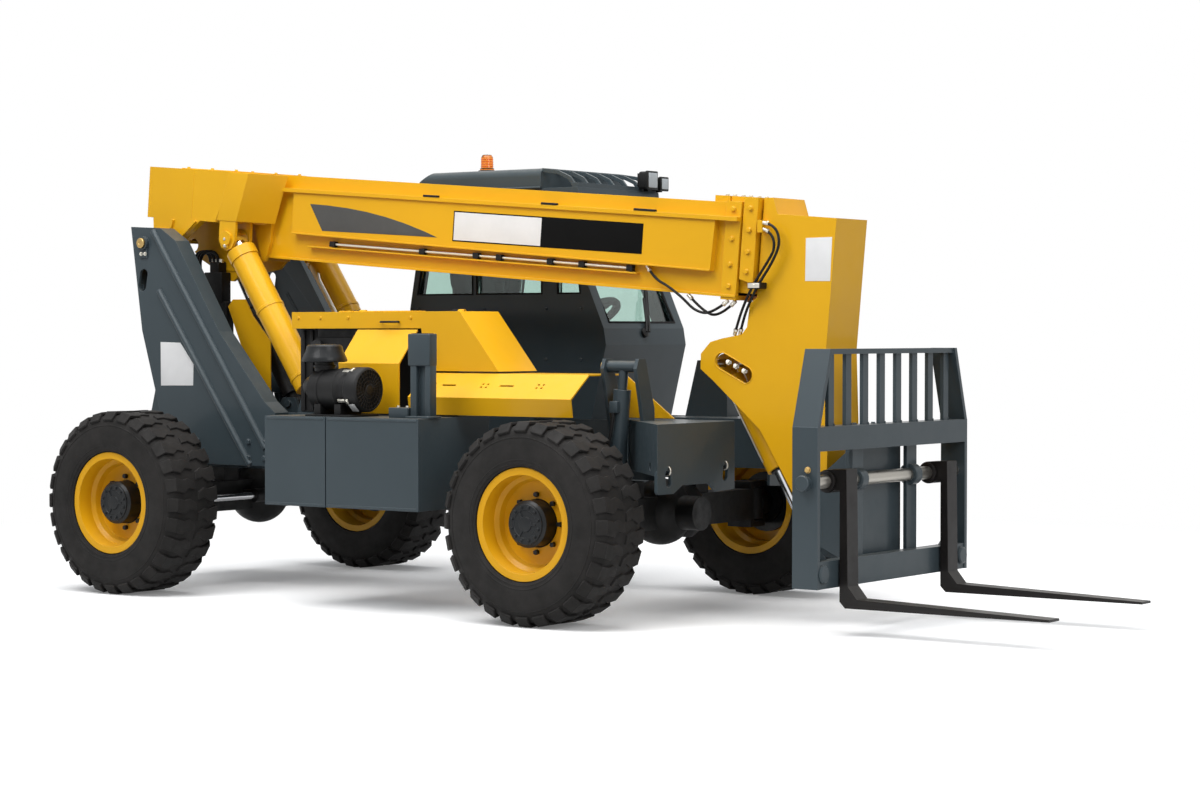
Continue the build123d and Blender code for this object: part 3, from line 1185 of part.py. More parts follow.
door_pane = ((-1758, 1501), (-1679, 2119), (-926, 2119), (-861, 1706), (-776, 1501))
with BuildPart() as cab_door_glass:
    add(side_plate(shift(door_pane), CAB_LEFT - CAB_WALL / 2, GLASS))
save(cab_door_glass, "cab_door_glass")

ROOF_TOP = 2362
with BuildPart() as cab_roof:
    roof_side = ((-1900, CAB_EAVES), (-1880, 2310), (-1800, ROOF_TOP), (-1010, ROOF_TOP),
                 (-1010, CAB_EAVES))
    add(side_plate(shift(roof_side), cab_mid, cab_width + 20))
    top_edges = cab_roof.edges().filter_by(Axis.X).sort_by(Axis.Z)[-2:]
    fillet(top_edges, radius=45)
    for index in range(7):
        rib_y = CAB_RIGHT + 15 + index * (cab_width - 30) / 6
        rib = ((-1012, ROOF_TOP), (-900, 2345), (-820, 2310), (-770, CAB_EAVES), (-800, CAB_EAVES),
               (-835, 2295), (-905, 2325), (-1012, 2340))
        add(side_plate(shift(rib), rib_y, 14))
    add(block(FRONT_X - 800, FRONT_X - 765, CAB_RIGHT, CAB_LEFT, CAB_EAVES, CAB_EAVES + 25))
save(cab_roof, "cab_roof")

LAMP_Z = 2300
BEACON = (FRONT_X - 1710, 700)
BEACON_BASE = 28
BEACON_DOME = (  # radius, height over the base
    (0, 0), (42, 0), (42, 12), (37, 16), (35, 78), (26, 92), (0, 96),
)
with BuildPart() as beacon:
    dome_plane = Plane(origin=(*BEACON, ROOF_TOP + BEACON_BASE), x_dir=(1, 0, 0), z_dir=(0, -1, 0))
    with BuildSketch(dome_plane):
        with BuildLine():
            Polyline(*BEACON_DOME, close=True)
        make_face()
    revolve(axis=Axis((*BEACON, 0), (0, 0, 1)))
save(beacon, "beacon")

with BuildPart() as roof_lamps:
    with BuildSketch(Plane.XY.offset(ROOF_TOP)):
        with Locations(BEACON):
            Circle(52)
    extrude(amount=BEACON_BASE)
    for lamp_y in (CAB_RIGHT + 300, CAB_LEFT - 120):
        add(block(FRONT_X - 765, FRONT_X - 690, lamp_y - 45, lamp_y + 45, LAMP_Z - 45, LAMP_Z + 45))
        add(block(FRONT_X - 765, FRONT_X - 745, lamp_y - 12, lamp_y + 12, CAB_EAVES + 2, LAMP_Z - 40))
save(roof_lamps, "roof_lamps")

SEAT_Y = cab_mid
cab_floor_top = CAB_FLOOR + CAB_WALL
with BuildPart() as seat:
    add(block(FRONT_X - 1700, FRONT_X - 1280, SEAT_Y - 180, SEAT_Y + 180, cab_floor_top, 1120))
    add(block(FRONT_X - 1750, FRONT_X - 1230, SEAT_Y - 250, SEAT_Y + 250, 1110, 1230))
    back = ((-1740, 1220), (-1830, 1820), (-1740, 1830), (-1620, 1220))
    add(side_plate(shift(back), SEAT_Y, 460))
save(seat, "seat")

with BuildPart() as cab_controls:
    add(block(FRONT_X - 920, FRONT_X - 790, SEAT_Y - 200, SEAT_Y + 200, cab_floor_top, 1300))
    add(rod_between((FRONT_X - 850, SEAT_Y, 1250), (FRONT_X - 975, SEAT_Y, 1530), 30))
    wheel_plane = Plane(origin=(FRONT_X - 975, SEAT_Y, 1530), z_dir=(-175, 0, 280))
    with BuildSketch(wheel_plane):
        Circle(190)
        Circle(165, mode=Mode.SUBTRACT)
        Rectangle(340, 30)
        Circle(45)
    extrude(amount=18, both=True)
save(cab_controls, "cab_controls")

# ---------------------------------------------------------------- carriage
CARRIAGE_PLATE = 25
COUPLER_Y = 190
COUPLER_PLATE = 24
FORK_SHAFT_X = FRONT_X + 1345
with BuildPart() as carriage:
    for side in (-1, 1):
        plate_y = side * (CARRIAGE_HALF - CARRIAGE_PLATE / 2)
        post = (
            (CARRIAGE_BACK, CARRIAGE_LOW), (CARRIAGE_FRONT, CARRIAGE_LOW),
            (CARRIAGE_FRONT, CARRIAGE_HIGH), (CARRIAGE_BACK, CARRIAGE_HIGH),
        )
        add(side_plate(post, plate_y, CARRIAGE_PLATE))
        slant = (
            (side * CARRIAGE_HALF, CARRIAGE_HIGH - 5), (side * BACKREST_HALF, BACKREST_HIGH),
            (side * (BACKREST_HALF - 24), BACKREST_HIGH),
            (side * (CARRIAGE_HALF - CARRIAGE_PLATE), CARRIAGE_HIGH - 5),
        )
        add(prism(cross_plane(CARRIAGE_BACK), slant, CARRIAGE_FRONT - CARRIAGE_BACK))
        upright_y = side * CARRIAGE_UPRIGHT_Y
        add(block(CARRIAGE_BACK + 60, CARRIAGE_BACK + 80, upright_y - 50, upright_y + 50,
                  CARRIAGE_LOW + 20, CARRIAGE_HIGH - 20))
    add(block(CARRIAGE_BACK + 25, CARRIAGE_FRONT, -CARRIAGE_HALF + 5, CARRIAGE_HALF - 5,
              CARRIAGE_HIGH - 115, CARRIAGE_HIGH))
    add(block(CARRIAGE_BACK + 60, CARRIAGE_FRONT - 5, -CARRIAGE_HALF + 5, CARRIAGE_HALF - 5,
              CARRIAGE_LOW, CARRIAGE_LOW + 130))
    add(block(CARRIAGE_FRONT - 60, CARRIAGE_FRONT - 10, -BACKREST_HALF + 5, BACKREST_HALF - 5,
              BACKREST_HIGH - 25, BACKREST_HIGH))
    for index in range(SLAT_COUNT):
        slat_y = (index - (SLAT_COUNT - 1) / 2) * 2 * (BACKREST_HALF - 60) / (SLAT_COUNT - 1)
        add(block(CARRIAGE_FRONT - 50, CARRIAGE_FRONT - 30, slat_y - 25, slat_y + 25,
                  CARRIAGE_HIGH - 5, BACKREST_HIGH - 5))
    add(cross_pin(FORK_SHAFT_X, FORK_SHAFT_Z, -CARRIAGE_HALF - 40, CARRIAGE_HALF + 40,
                  FORK_SHAFT_RADIUS))
save(carriage, "carriage")

pivot_x, pivot_z = CARRIAGE_PIVOT
with BuildPart() as coupler:
    for side in (-1, 1):
        cheek = (
            (pivot_x - 70, pivot_z + 20), (pivot_x - 40, pivot_z + 90), (CARRIAGE_BACK, 880),
            (CARRIAGE_BACK + 20, 880), (CARRIAGE_BACK + 20, 300), (pivot_x, 420),
            (pivot_x - 70, pivot_z - 40),
        )
        add(side_plate(cheek, side * COUPLER_Y, COUPLER_PLATE))
        fork_lug = (
            (TILT_FOOT[0] - 55, TILT_FOOT[1] + 10), (TILT_FOOT[0] - 20, TILT_FOOT[1] + 55),
            (pivot_x + 70, 450), (CARRIAGE_BACK + 5, 440), (CARRIAGE_BACK + 5, 300),
            (TILT_FOOT[0] - 20, TILT_FOOT[1] - 55),
        )
        add(side_plate(fork_lug, side * (TILT_EYE_HALF + MOVING_GAP + 10), 20))
    add(block(CARRIAGE_BACK, CARRIAGE_BACK + 25, -COUPLER_Y - 60, COUPLER_Y + 60, 290, 884))
    add(cross_pin(pivot_x, pivot_z, -COUPLER_Y - 30, COUPLER_Y + 30, PIN_RADIUS))
save(coupler, "coupler")

# ---------------------------------------------------------------- forks
fork_rear = CARRIAGE_FRONT + MOVING_GAP
fork_tip = FRONT_X + FORK_REACH
fork_outline = (
    (fork_rear, FORK_SHAFT_Z + 60), (fork_rear + FORK_THICKNESS - 8, FORK_SHAFT_Z + 60),
    (fork_rear + FORK_THICKNESS, FORK_HEEL_Z + FORK_THICKNESS + 60),
    (fork_rear + FORK_THICKNESS + 50, FORK_HEEL_Z + FORK_THICKNESS),
    (fork_tip, FORK_HEEL_Z + 12), (fork_tip, FORK_HEEL_Z), (fork_rear + 30, FORK_HEEL_Z),
    (fork_rear, FORK_HEEL_Z + 30),
)
for name, side in (("left", 1), ("right", -1)):
    y = side * FORK_Y
    with BuildPart() as fork:
        add(side_plate(fork_outline, y, FORK_WIDTH))
        add(
            cross_pin(FORK_SHAFT_X, FORK_SHAFT_Z, y - FORK_WIDTH / 2, y + FORK_WIDTH / 2, 56)
        )
        hook = ((FORK_SHAFT_X, FORK_SHAFT_Z + 56), (fork_rear + 5, FORK_SHAFT_Z + 60),
                (fork_rear + 5, FORK_SHAFT_Z - 40), (FORK_SHAFT_X, FORK_SHAFT_Z - 40))
        add(side_plate(hook, y, FORK_WIDTH))
        add(
            cross_pin(FORK_SHAFT_X, FORK_SHAFT_Z, y - FORK_WIDTH, y + FORK_WIDTH,
                      FORK_SHAFT_RADIUS + 2),
            mode=Mode.SUBTRACT,
        )
    save(fork, f"fork_{name}")
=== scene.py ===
"""Looks of a compact telehandler: enamelled steel, tyres, glass and the small fittings on its frame."""
import json

import bpy
from math import cos, pi, radians, sin
from mathutils import Matrix, Vector


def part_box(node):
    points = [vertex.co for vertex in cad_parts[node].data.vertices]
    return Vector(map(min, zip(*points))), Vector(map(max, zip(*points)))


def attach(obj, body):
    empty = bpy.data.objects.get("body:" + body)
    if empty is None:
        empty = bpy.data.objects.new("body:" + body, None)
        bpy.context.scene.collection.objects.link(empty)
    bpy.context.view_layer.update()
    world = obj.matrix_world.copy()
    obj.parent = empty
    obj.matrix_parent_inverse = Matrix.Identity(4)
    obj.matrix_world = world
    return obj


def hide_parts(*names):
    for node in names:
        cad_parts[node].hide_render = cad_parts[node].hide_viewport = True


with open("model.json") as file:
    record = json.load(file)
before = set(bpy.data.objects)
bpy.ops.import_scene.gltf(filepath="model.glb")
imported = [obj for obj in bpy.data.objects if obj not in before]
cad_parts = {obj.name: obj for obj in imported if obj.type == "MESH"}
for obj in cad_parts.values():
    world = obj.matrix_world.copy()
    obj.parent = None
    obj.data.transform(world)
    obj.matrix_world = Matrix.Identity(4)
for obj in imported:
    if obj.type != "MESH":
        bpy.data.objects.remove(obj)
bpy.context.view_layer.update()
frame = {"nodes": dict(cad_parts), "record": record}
nodes = frame["nodes"]
scene = bpy.context.scene

FRONT_X, REAR_X = 0.45, -2.415  # axles, from the origin
AXLE_Z, WHEEL_Y = 0.508, 1.028  # axle height, middle of each wheel
PIVOT = Vector((-2.8, 0, 1.965))  # boom pivot
SLOPE = radians(4.55)  # boom nose down as parked
BOOM = Matrix.Translation(PIVOT) @ Matrix.Rotation(SLOPE, 4, "Y")
BOOM_SIDE, COVER_FACE = 0.17, 0.21  # the boom's wall and the outer face of its side covers
GOOSE_FACE, UPRIGHT_FACE = 0.15, 0.55  # outer faces of gooseneck and uprights
CAB_MIDDLE = 0.69
SHELF = 1.01  # top of the side box, which carries the air cleaner and exhaust
CORNERS = ("fl", "fr", "rl", "rr")
SIDES = ((-1, "right"), (1, "left"))


def ahead(x, y, z):
    """A point given from the front axle."""
    return Vector((FRONT_X + x, y, z))


LIFT_FOOT, LIFT_PIN = ahead(-2.12, 0, 1.06), ahead(-2.746, 0, 1.987)
TILT_HEAD, TILT_EYE = ahead(0.42, 0, 1.29), ahead(0.94, 0, 0.39)
FORK_SHAFT = ahead(1.345, 0, 0.735)


# ---------------------------------------------------------------- material helpers
def linear(hex_colour):
    """An sRGB hex colour as the linear RGBA that the shader takes."""
    values = [int(hex_colour[i : i + 2], 16) / 255 for i in (1, 3, 5)]
    return tuple(v / 12.92 if v <= 0.04045 else ((v + 0.055) / 1.055) ** 2.4 for v in values) + (1,)


def grey(value):
    return (value, value, value, 1)


def add_node(tree, kind, settings=(), links=()):
    """Adds a shader node; settings go to its ramp's stops, properties or inputs, links come from sockets."""
    item = tree.nodes.new(kind)
    for key, value in dict(settings).items():
        if key == "stops":
            for stop, (position, colour) in zip(item.color_ramp.elements, value):
                stop.position = position
                stop.color = colour
        elif isinstance(key, str) and hasattr(item, key):
            setattr(item, key, value)
        else:
            item.inputs[key].default_value = value
    for key, socket in dict(links).items():
        tree.links.new(socket, item.inputs[key])
    return item


def emptied(owner):
    """The node tree of a new material or world, with nothing in it."""
    owner.use_nodes = True
    owner.node_tree.nodes.clear()
    return owner.node_tree


def shaded_by(name, build, settings):
    """A material whose builder gives what drives its shader's inputs; the settings are plain values."""
    material = bpy.data.materials.new(name)
    tree = emptied(material)
    shader = add_node(tree, "ShaderNodeBsdfPrincipled", settings, build(tree))
    add_node(tree, "ShaderNodeOutputMaterial", links={"Surface": shader.outputs[0]})
    return material


def grain(tree, size_mm, detail=3, roughness=0.55):
    """Unevenness whose grains are about this many millimetres across."""
    place = add_node(tree, "ShaderNodeTexCoord").outputs["Object"]
    settings = {"Scale": 1000 / size_mm, "Detail": detail, "Roughness": roughness}
    return add_node(tree, "ShaderNodeTexNoise", settings, {"Vector": place}).outputs["Fac"]


def mottled(tree, grains, span, first, second):
    """A value or colour that drifts between two, by grains of (mm, detail, roughness)."""
    stops = ((span[0], first), (span[1], second))
    return add_node(tree, "ShaderNodeValToRGB", {"stops": stops}, {"Fac": grain(tree, *grains)}).outputs[0]


# ---------------------------------------------------------------- finishes
def enamel(name, main, shaded, edge, rough, coat, peel, dust=0.1):
    """Sprayed machine enamel: rounded edges that catch light and are painted a little lighter, part wear and
    part painted highlight; orange peel and a film of dust on top.
    """
    def build(tree):
        clouds = mottled(tree, (600, 4, 0.6), (0.3, 0.75), linear(shaded), linear(main))
        # sheet edges are rounded by about 3 mm and painted a little lighter there: part rubbed wear, part
        # painted highlight
        eased = add_node(tree, "ShaderNodeBevel", {"samples": 4, "Radius": 0.003}).outputs[0]
        flat = add_node(tree, "ShaderNodeNewGeometry").outputs["Normal"]
        turn = add_node(tree, "ShaderNodeVectorMath", {"operation": "DOT_PRODUCT"}, {0: eased, 1: flat})
        edge_wear_and_highlight = add_node(tree, "ShaderNodeValToRGB", {"stops": ((0.8, grey(0.55)), (0.985, grey(0)))},
                       {"Fac": turn.outputs["Value"]})
        # worn is the enamel with its lighter edges: rubbed wear and a painted highlight
        worn = add_node(tree, "ShaderNodeMix", {"data_type": "RGBA", 7: linear(edge)},
                        {0: edge_wear_and_highlight.outputs[0], 6: clouds})
        # road dust lies on faces that look up
        lift = add_node(tree, "ShaderNodeSeparateXYZ", links={0: flat})
        film = add_node(tree, "ShaderNodeValToRGB", {"stops": ((0.45, grey(0)), (1, grey(dust)))},
                        {"Fac": lift.outputs["Z"]})
        patches = mottled(tree, (70, 8, 0.7), (0.35, 0.7), grey(0.25), grey(1))
        cover = add_node(tree, "ShaderNodeMath", {"operation": "MULTIPLY"}, {0: film.outputs[0], 1: patches})
        dusty = add_node(tree, "ShaderNodeMix", {"data_type": "RGBA", 7: linear("#B9AE9B")},
                         {0: cover.outputs[0], 6: worn.outputs[2]})
        # orange peel about 4 mm across, coarser than real so that it shows
        peeled = add_node(tree, "ShaderNodeBump", {"Strength": peel, "Distance": 0.0006},
                          {"Height": grain(tree, 4, 1), "Normal": eased})
        return {
            "Base Color": dusty.outputs[2],
            "Roughness": mottled(tree, (110, 8, 0.7), (0.35, 0.7), grey(rough), grey(rough + 0.13)),
            "Normal": peeled.outputs[0],
        }

    return shaded_by(name, build, {"Coat Weight": coat, "Coat Roughness": 0.12, "IOR": 1.5,
                                   "Specular IOR Level": 0.2})


def cast_iron(name, main, shaded, rough):
    """Sand-cast iron under thin black paint: oily patches on a skin of foundry sand, 3 mm across."""
    def build(tree):
        eased = add_node(tree, "ShaderNodeBevel", {"samples": 4, "Radius": 0.004}).outputs[0]
        sand = add_node(tree, "ShaderNodeBump", {"Strength": 0.35, "Distance": 0.0012},
                        {"Height": grain(tree, 3, 4, 0.7), "Normal": eased})
        return {
            "Base Color": mottled(tree, (90, 6, 0.6), (0.35, 0.7), linear(shaded), linear(main)),
            "Roughness": mottled(tree, (45, 6), (0.3, 0.7), grey(rough), grey(rough + 0.25)),
            "Normal": sand.outputs[0],
        }

    return shaded_by(name, build, {"IOR": 1.5, "Specular IOR Level": 0.25})


def rubber(name, main, worn, rough, grain_mm, edge_radius):
    """Cured rubber: matt black with a brown-grey bloom, dusty patches and moulding grain."""
    def build(tree):
        eased = add_node(tree, "ShaderNodeBevel", {"samples": 4, "Radius": edge_radius}).outputs[0]
        bump = add_node(tree, "ShaderNodeBump", {"Strength": 0.3, "Distance": 0.001},
                        {"Height": grain(tree, grain_mm, 4), "Normal": eased})
        return {
            "Base Color": mottled(tree, (160, 8, 0.65), (0.35, 0.7), linear(main), linear(worn)),
            "Roughness": mottled(tree, (60, 8, 0.65), (0.3, 0.7), grey(rough), grey(rough + 0.18)),
            "Normal": bump.outputs[0],
        }

    return shaded_by(name, build, {"IOR": 1.52, "Specular IOR Level": 0.18})


def metal(name, colour, rough, spread, streak_mm):
    """Bare or plated metal with faint polishing streaks."""
    return shaded_by(name, lambda tree: {
        "Roughness": mottled(tree, (streak_mm, 6), (0.3, 0.7), grey(rough), grey(rough + spread)),
    }, {"Metallic": 1.0, "Base Color": linear(colour)})


def moulded(name, main, shaded, rough, grain_mm, depth=0.2, shine=0.25):
    """Moulded plastic, vinyl or printed film with a fine grain."""
    return shaded_by(name, lambda tree: {
        "Base Color": mottled(tree, (120, 4), (0.3, 0.7), linear(shaded), linear(main)),
        "Roughness": mottled(tree, (grain_mm, 3), (0.3, 0.7), grey(rough), grey(rough + 0.1)),
        "Normal": add_node(tree, "ShaderNodeBump", {"Strength": depth, "Distance": 0.0005},
                           {"Height": grain(tree, grain_mm, 3)}).outputs[0],
    }, {"IOR": 1.48, "Specular IOR Level": shine})


def clear(name, colour, rough, smear):
    """See-through glass or lens with faint wiped smears in its gloss."""
    return shaded_by(name, lambda tree: {
        "Roughness": mottled(tree, (180, 5), (0.4, 0.75), grey(rough), grey(rough + smear)),
    }, {"Base Color": linear(colour), "Transmission Weight": 1.0, "IOR": 1.45})


# the fourth colour of each enamel is its lighter edge colour: rubbed wear and a painted highlight
yellow = enamel("yellow_machine_enamel", "#E2AB16", "#DCA412", "#EDBE45", 0.3, 0.12, 0.08, 0.1)
wheel_yellow = enamel("yellow_wheel_enamel", "#E0A614", "#D69B10", "#EDBE45", 0.36, 0.1, 0.12, 0.08)
blue_grey = enamel("blue_grey_machine_enamel", "#3C464B", "#364045", "#65717A", 0.32, 0.12, 0.08, 0.14)
axle_black = cast_iron("black_painted_castings", "#151515", "#0D0D0D", 0.42)
forged_black = enamel("black_fork_enamel", "#1B1817", "#131110", "#332E2B", 0.4, 0.05, 0.12, 0.08)
hub_black = enamel("blue_black_hub_enamel", "#15181A", "#101214", "#2E3337", 0.36, 0.1, 0.2, 0.05)
tyre_rubber = rubber("cured_tyre_rubber", "#191817", "#272524", 0.62, 6, 0.005)
hose_rubber = rubber("hose_rubber", "#0C0C0C", "#151515", 0.34, 2, 0.001)
gasket_rubber = rubber("black_gasket_rubber", "#0B0B0B", "#141414", 0.5, 2, 0.001)
hard_chrome = metal("hard_chrome", "#D9DADC", 0.1, 0.1, 16)
worn_steel = metal("rubbed_bright_steel", "#A8A49C", 0.26, 0.2, 9)
zinc = metal("zinc_plated_steel", "#C9C6BC", 0.28, 0.15, 12)
yellow_zinc = metal("yellow_passivated_zinc", "#B79A63", 0.34, 0.15, 10)
black_plastic = moulded("black_moulded_plastic", "#161616", "#0F0F10", 0.46, 3)
seat_vinyl = moulded("black_seat_vinyl", "#1C1C1E", "#151517", 0.55, 2, 0.35)
white_film = moulded("white_vinyl_film", "#E4E4E4", "#DDDDDD", 0.32, 5, 0.05)
black_film = moulded("black_vinyl_film", "#0A0A0A", "#070707", 0.34, 5, 0.05, 0.08)
grey_film = moulded("grey_vinyl_film", "#525251", "#4C4C4B", 0.32, 5, 0.05, 0.15)
engine_black = cast_iron("dark_engine_iron", "#161617", "#0C0C0C", 0.5)
cab_glass = clear("green_tinted_safety_glass", "#CFE3DC", 0.0, 0.02)
lamp_face = moulded("frosted_lamp_face", "#B9BFC3", "#AAB0B4", 0.2, 6, 0.2, 0.5)
amber = clear("amber_beacon_lens", "#F0891C", 0.08, 0.05)
red_lens = clear("red_tail_lens", "#C9281E", 0.1, 0.05)

FINISHES = {  # each slot's own finish, then the others that new pieces of that slot wear
    "yellow_paint": [yellow], "rim_paint": [wheel_yellow], "grey_paint": [blue_grey],
    "black_paint": [axle_black, hub_black], "tyre_rubber": [tyre_rubber], "engine_iron": [engine_black],
    "black_plastic": [black_plastic, gasket_rubber, white_film, black_film, grey_film],
    "lamp_black": [black_plastic, lamp_face], "amber_lens": [amber, red_lens], "exhaust_steel": [blue_grey],
    "fork_steel": [forged_black], "chrome_rod": [hard_chrome, zinc, worn_steel, yellow_zinc],
    "cab_glass": [cab_glass], "seat_vinyl": [seat_vinyl], "hose_rubber": [hose_rubber],
}
OWN_FINISH = {"slave_barrel": axle_black, "cab_controls": black_plastic, "coupler": blue_grey}
OWN_FINISH.update({f"hub_{corner}": hub_black for corner in CORNERS})
for entry in frame["record"]["subparts"]:
    node = nodes[entry["node"]]
    node.data.materials.clear()
    node.data.materials.append(OWN_FINISH.get(entry["node"], FINISHES[entry["material_slot"]][0]))


# ---------------------------------------------------------------- modelling helpers
def deselect():
    bpy.ops.object.select_all(action="DESELECT")


def pick(piece):
    """Leaves this piece alone selected and active."""
    deselect()
    piece.select_set(True)
    bpy.context.view_layer.objects.active = piece


def edit_all(piece):
    """Opens a piece in edit mode with all of it selected."""
    pick(piece)
    bpy.ops.object.mode_set(mode="EDIT")
    bpy.ops.mesh.select_all(action="SELECT")


def close_edit(piece, name):
    """Makes all faces look outwards and leaves edit mode."""
    bpy.ops.mesh.select_all(action="SELECT")
    bpy.ops.mesh.normals_make_consistent(inside=False)
    bpy.ops.object.mode_set(mode="OBJECT")
    piece.name = name
    return piece


def block(name, low, high, bevel=0.002, segments=2):
    """A block between two corners with eased edges."""
    deselect()
    low, high = Vector(low), Vector(high)
    bpy.ops.mesh.primitive_cube_add(size=1, location=(low + high) / 2)
    piece = bpy.context.object
    piece.scale = high - low
    bpy.ops.object.transform_apply(location=True, rotation=True, scale=True)
    edit_all(piece)
    bpy.ops.mesh.bevel(offset=bevel, segments=segments, affect="EDGES")
    return close_edit(piece, name)


def turned(name, rings, sides=24):
    """A solid turned about Z: a ring of vertices for each radius and height, closed at both ends."""
    deselect()
    radius, height = rings[0]
    bpy.ops.mesh.primitive_circle_add(vertices=sides, radius=radius, fill_type="NGON",
                                      location=(0, 0, height))
    piece = bpy.context.object
    bpy.ops.object.transform_apply(location=True, rotation=True, scale=True)
    edit_all(piece)
    for next_radius, next_height in rings[1:]:
        bpy.ops.mesh.extrude_region_move(
            TRANSFORM_OT_translate={"value": (0, 0, next_height - height)}
        )
        share = next_radius / radius
        bpy.ops.transform.resize(value=(share, share, 1), center_override=(0, 0, 0))
        radius, height = next_radius, next_height
    return close_edit(piece, name)


def curved(name, points, kind="POLY", closed=False, **settings):
    """A curve object along these points, with the settings of its curve."""
    curve = bpy.data.curves.new(name, "CURVE")
    curve.dimensions = "3D"
    for key, value in settings.items():
        setattr(curve, key, value)
    spline = curve.splines.new(kind)
    spline.points.add(len(points) - 1)
    for point, place in zip(spline.points, points):
        point.co = (*place, 1)
    if kind == "NURBS":
        spline.order_u = 3
        spline.use_endpoint_u = True
    spline.use_cyclic_u = closed
    piece = bpy.data.objects.new(name, curve)
    scene.collection.objects.link(piece)
    return piece


def meshed(piece):
    """A curve object made a mesh."""
    pick(piece)
    bpy.ops.object.convert(target="MESH")
    return bpy.context.object


def cut_plate(name, outline, thickness, edge=0.0005):
    """A plate cut to an outline in X and Y, standing on Z = 0, with eased edges."""
    piece = meshed(curved(
        name, [(x, y, 0) for x, y in outline], closed=True, dimensions="2D", fill_mode="BOTH",
        extrude=thickness / 2 - edge, bevel_depth=edge, offset=-edge,
    ))
    edit_all(piece)
    bpy.ops.mesh.remove_doubles(threshold=0.00001)
    close_edit(piece, name)
    piece.data.transform(Matrix.Translation((0, 0, thickness / 2)))
    return piece


def pipe(name, points, radius, smooth=True, closed=False):
    """A bent steel pipe or a round strip through these points."""
    piece = meshed(curved(name, points, "NURBS" if smooth else "POLY", closed, bevel_depth=radius,
                          bevel_resolution=3, resolution_u=8, use_fill_caps=True))
    piece.name = name
    return piece


def ring(name, radius, thickness, sides=64):
    """A round rib or band about Z."""
    deselect()
    bpy.ops.mesh.primitive_torus_add(
        major_radius=radius, minor_radius=thickness, major_segments=sides, minor_segments=8
    )
    piece = bpy.context.object
    piece.name = name
    return piece


def joined(name, pieces):
    """One piece out of several."""
    deselect()
    for piece in pieces:
        piece.select_set(True)
    bpy.context.view_layer.objects.active = pieces[0]
    if len(pieces) > 1:
        bpy.ops.object.join()
    result = bpy.context.object
    result.name = name
    return result


def own_copy(piece, name):
    """Another piece of the same form with its own mesh."""
    copy = piece.copy()
    copy.data = piece.data.copy()
    copy.name = name
    scene.collection.objects.link(copy)
    return copy


def copies(name, piece, places):
    """Copies of a piece, each with its own mesh, at these places; the first one goes away."""
    made = []
    for place in places:
        made.append(own_copy(piece, name))
        made[-1].data.transform(place)
    bpy.data.objects.remove(piece)
    return joined(name, made)


def around(count, start=0):
    """Angles that share out a full turn."""
    return [2 * pi * (turn + start) / count for turn in range(count)]


def facing(point, way):
    """The place whose Z looks this way from this point."""
    turn = Vector(way).to_track_quat("Z", "Y").to_matrix().to_4x4()
    return Matrix.Translation(point) @ turn


def beside(y, side=-1):
    """X stays X, Y goes up, and Z looks out of the machine's side."""
    if side < 0:
        return Matrix.Translation((0, y, 0)) @ Matrix.Rotation(radians(90), 4, "X")
    flip = Matrix(((1, 0, 0, 0), (0, 0, 1, 0), (0, 1, 0, 0), (0, 0, 0, 1)))
    return Matrix.Translation((0, y, 0)) @ flip


def moved(piece, place):
    """Moves a piece's mesh, and turns it right side out where the place mirrors it."""
    piece.data.transform(place)
    if place.determinant() < 0:
        edit_all(piece)
        close_edit(piece, piece.name)
    return piece


def dress(piece, body, finish, angle=35):
    """Shades a piece, gives it its finish, and lets it ride on its body."""
    pick(piece)
    bpy.ops.object.shade_smooth_by_angle(angle=radians(angle))
    piece.data.materials.clear()
    piece.data.materials.append(finish)
    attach(piece, body)
    return piece


def hex_bolt(size):
    """A hexagon bolt head on its washer, standing on Z = 0; size is the thread's diameter."""
    washer = turned("washer", [(1.0 * size, 0), (1.1 * size, 0.05 * size), (1.1 * size, 0.18 * size),
                               (1.0 * size, 0.22 * size)], 16)
    head = turned("head", [(0.92 * size, 0.2 * size), (0.92 * size, 0.75 * size),
                           (0.78 * size, 0.85 * size)], 6)
    return joined("bolt", [washer, head])


def bolts(name, body, size, places, finish=zinc):
    """Hexagon bolts at these points, each given with the way that it looks."""
    return dress(copies(name, hex_bolt(size), [facing(*place) for place in places]), body, finish, 25)


# ---------------------------------------------------------------- hoses on the boom
HOSE = 0.014


def boom_point(s, t, y):
    """A point along and square to the boom."""
    return BOOM @ Vector((s, y, t))


HOSES = {
    "hose_boom_lower": ("boom_outer", [boom_point(*point) for point in (
        (3.3, 0.088, -0.19), (3.35, 0.03, -0.196), (3.45, -0.005, -0.206),
        (3.545, -0.06, -0.206), (3.62, -0.12, -0.2), (3.712, -0.13, -0.188),
        (3.8, -0.056, -0.178),
    )]),
    "hose_boom_upper": ("boom_outer", [boom_point(*point) for point in (
        (3.56, -0.041, -0.18), (3.64, -0.112, -0.172), (3.745, -0.146, -0.166),
        (3.838, -0.056, -0.166),
    )]),
    "hose_head_outer": ("boom_inner", [ahead(*point) for point in (
        (0.761, -0.198, 1.998), (0.826, -0.2, 1.99), (0.866, -0.204, 1.9),
        (0.818, -0.204, 1.8), (0.73, -0.198, 1.69), (0.655, -0.174, 1.585),
        (0.606, -0.15, 1.5), (0.578, -0.13, 1.44),
    )]),
    "hose_head_inner": ("boom_inner", [ahead(*point) for point in (
        (0.764, -0.198, 1.966), (0.812, -0.2, 1.946), (0.834, -0.204, 1.87),
        (0.784, -0.204, 1.795), (0.7, -0.198, 1.69), (0.627, -0.174, 1.585),
        (0.578, -0.15, 1.5), (0.546, -0.13, 1.439),
    )]),
}


def ferrule():
    """A crimped hose end about 40 mm long with its hexagon nut."""
    sleeve = [(0.0088, 0), (0.01, 0.001), (0.01, 0.005), (0.0091, 0.007), (0.01, 0.009),
              (0.01, 0.014), (0.0091, 0.016), (0.01, 0.018), (0.01, 0.024), (0.0088, 0.026)]
    nut = [(0.0105, 0.024), (0.012, 0.025), (0.012, 0.034), (0.0105, 0.036)]
    return joined("ferrule", [turned("sleeve", sleeve, 20), turned("nut", nut, 6)])


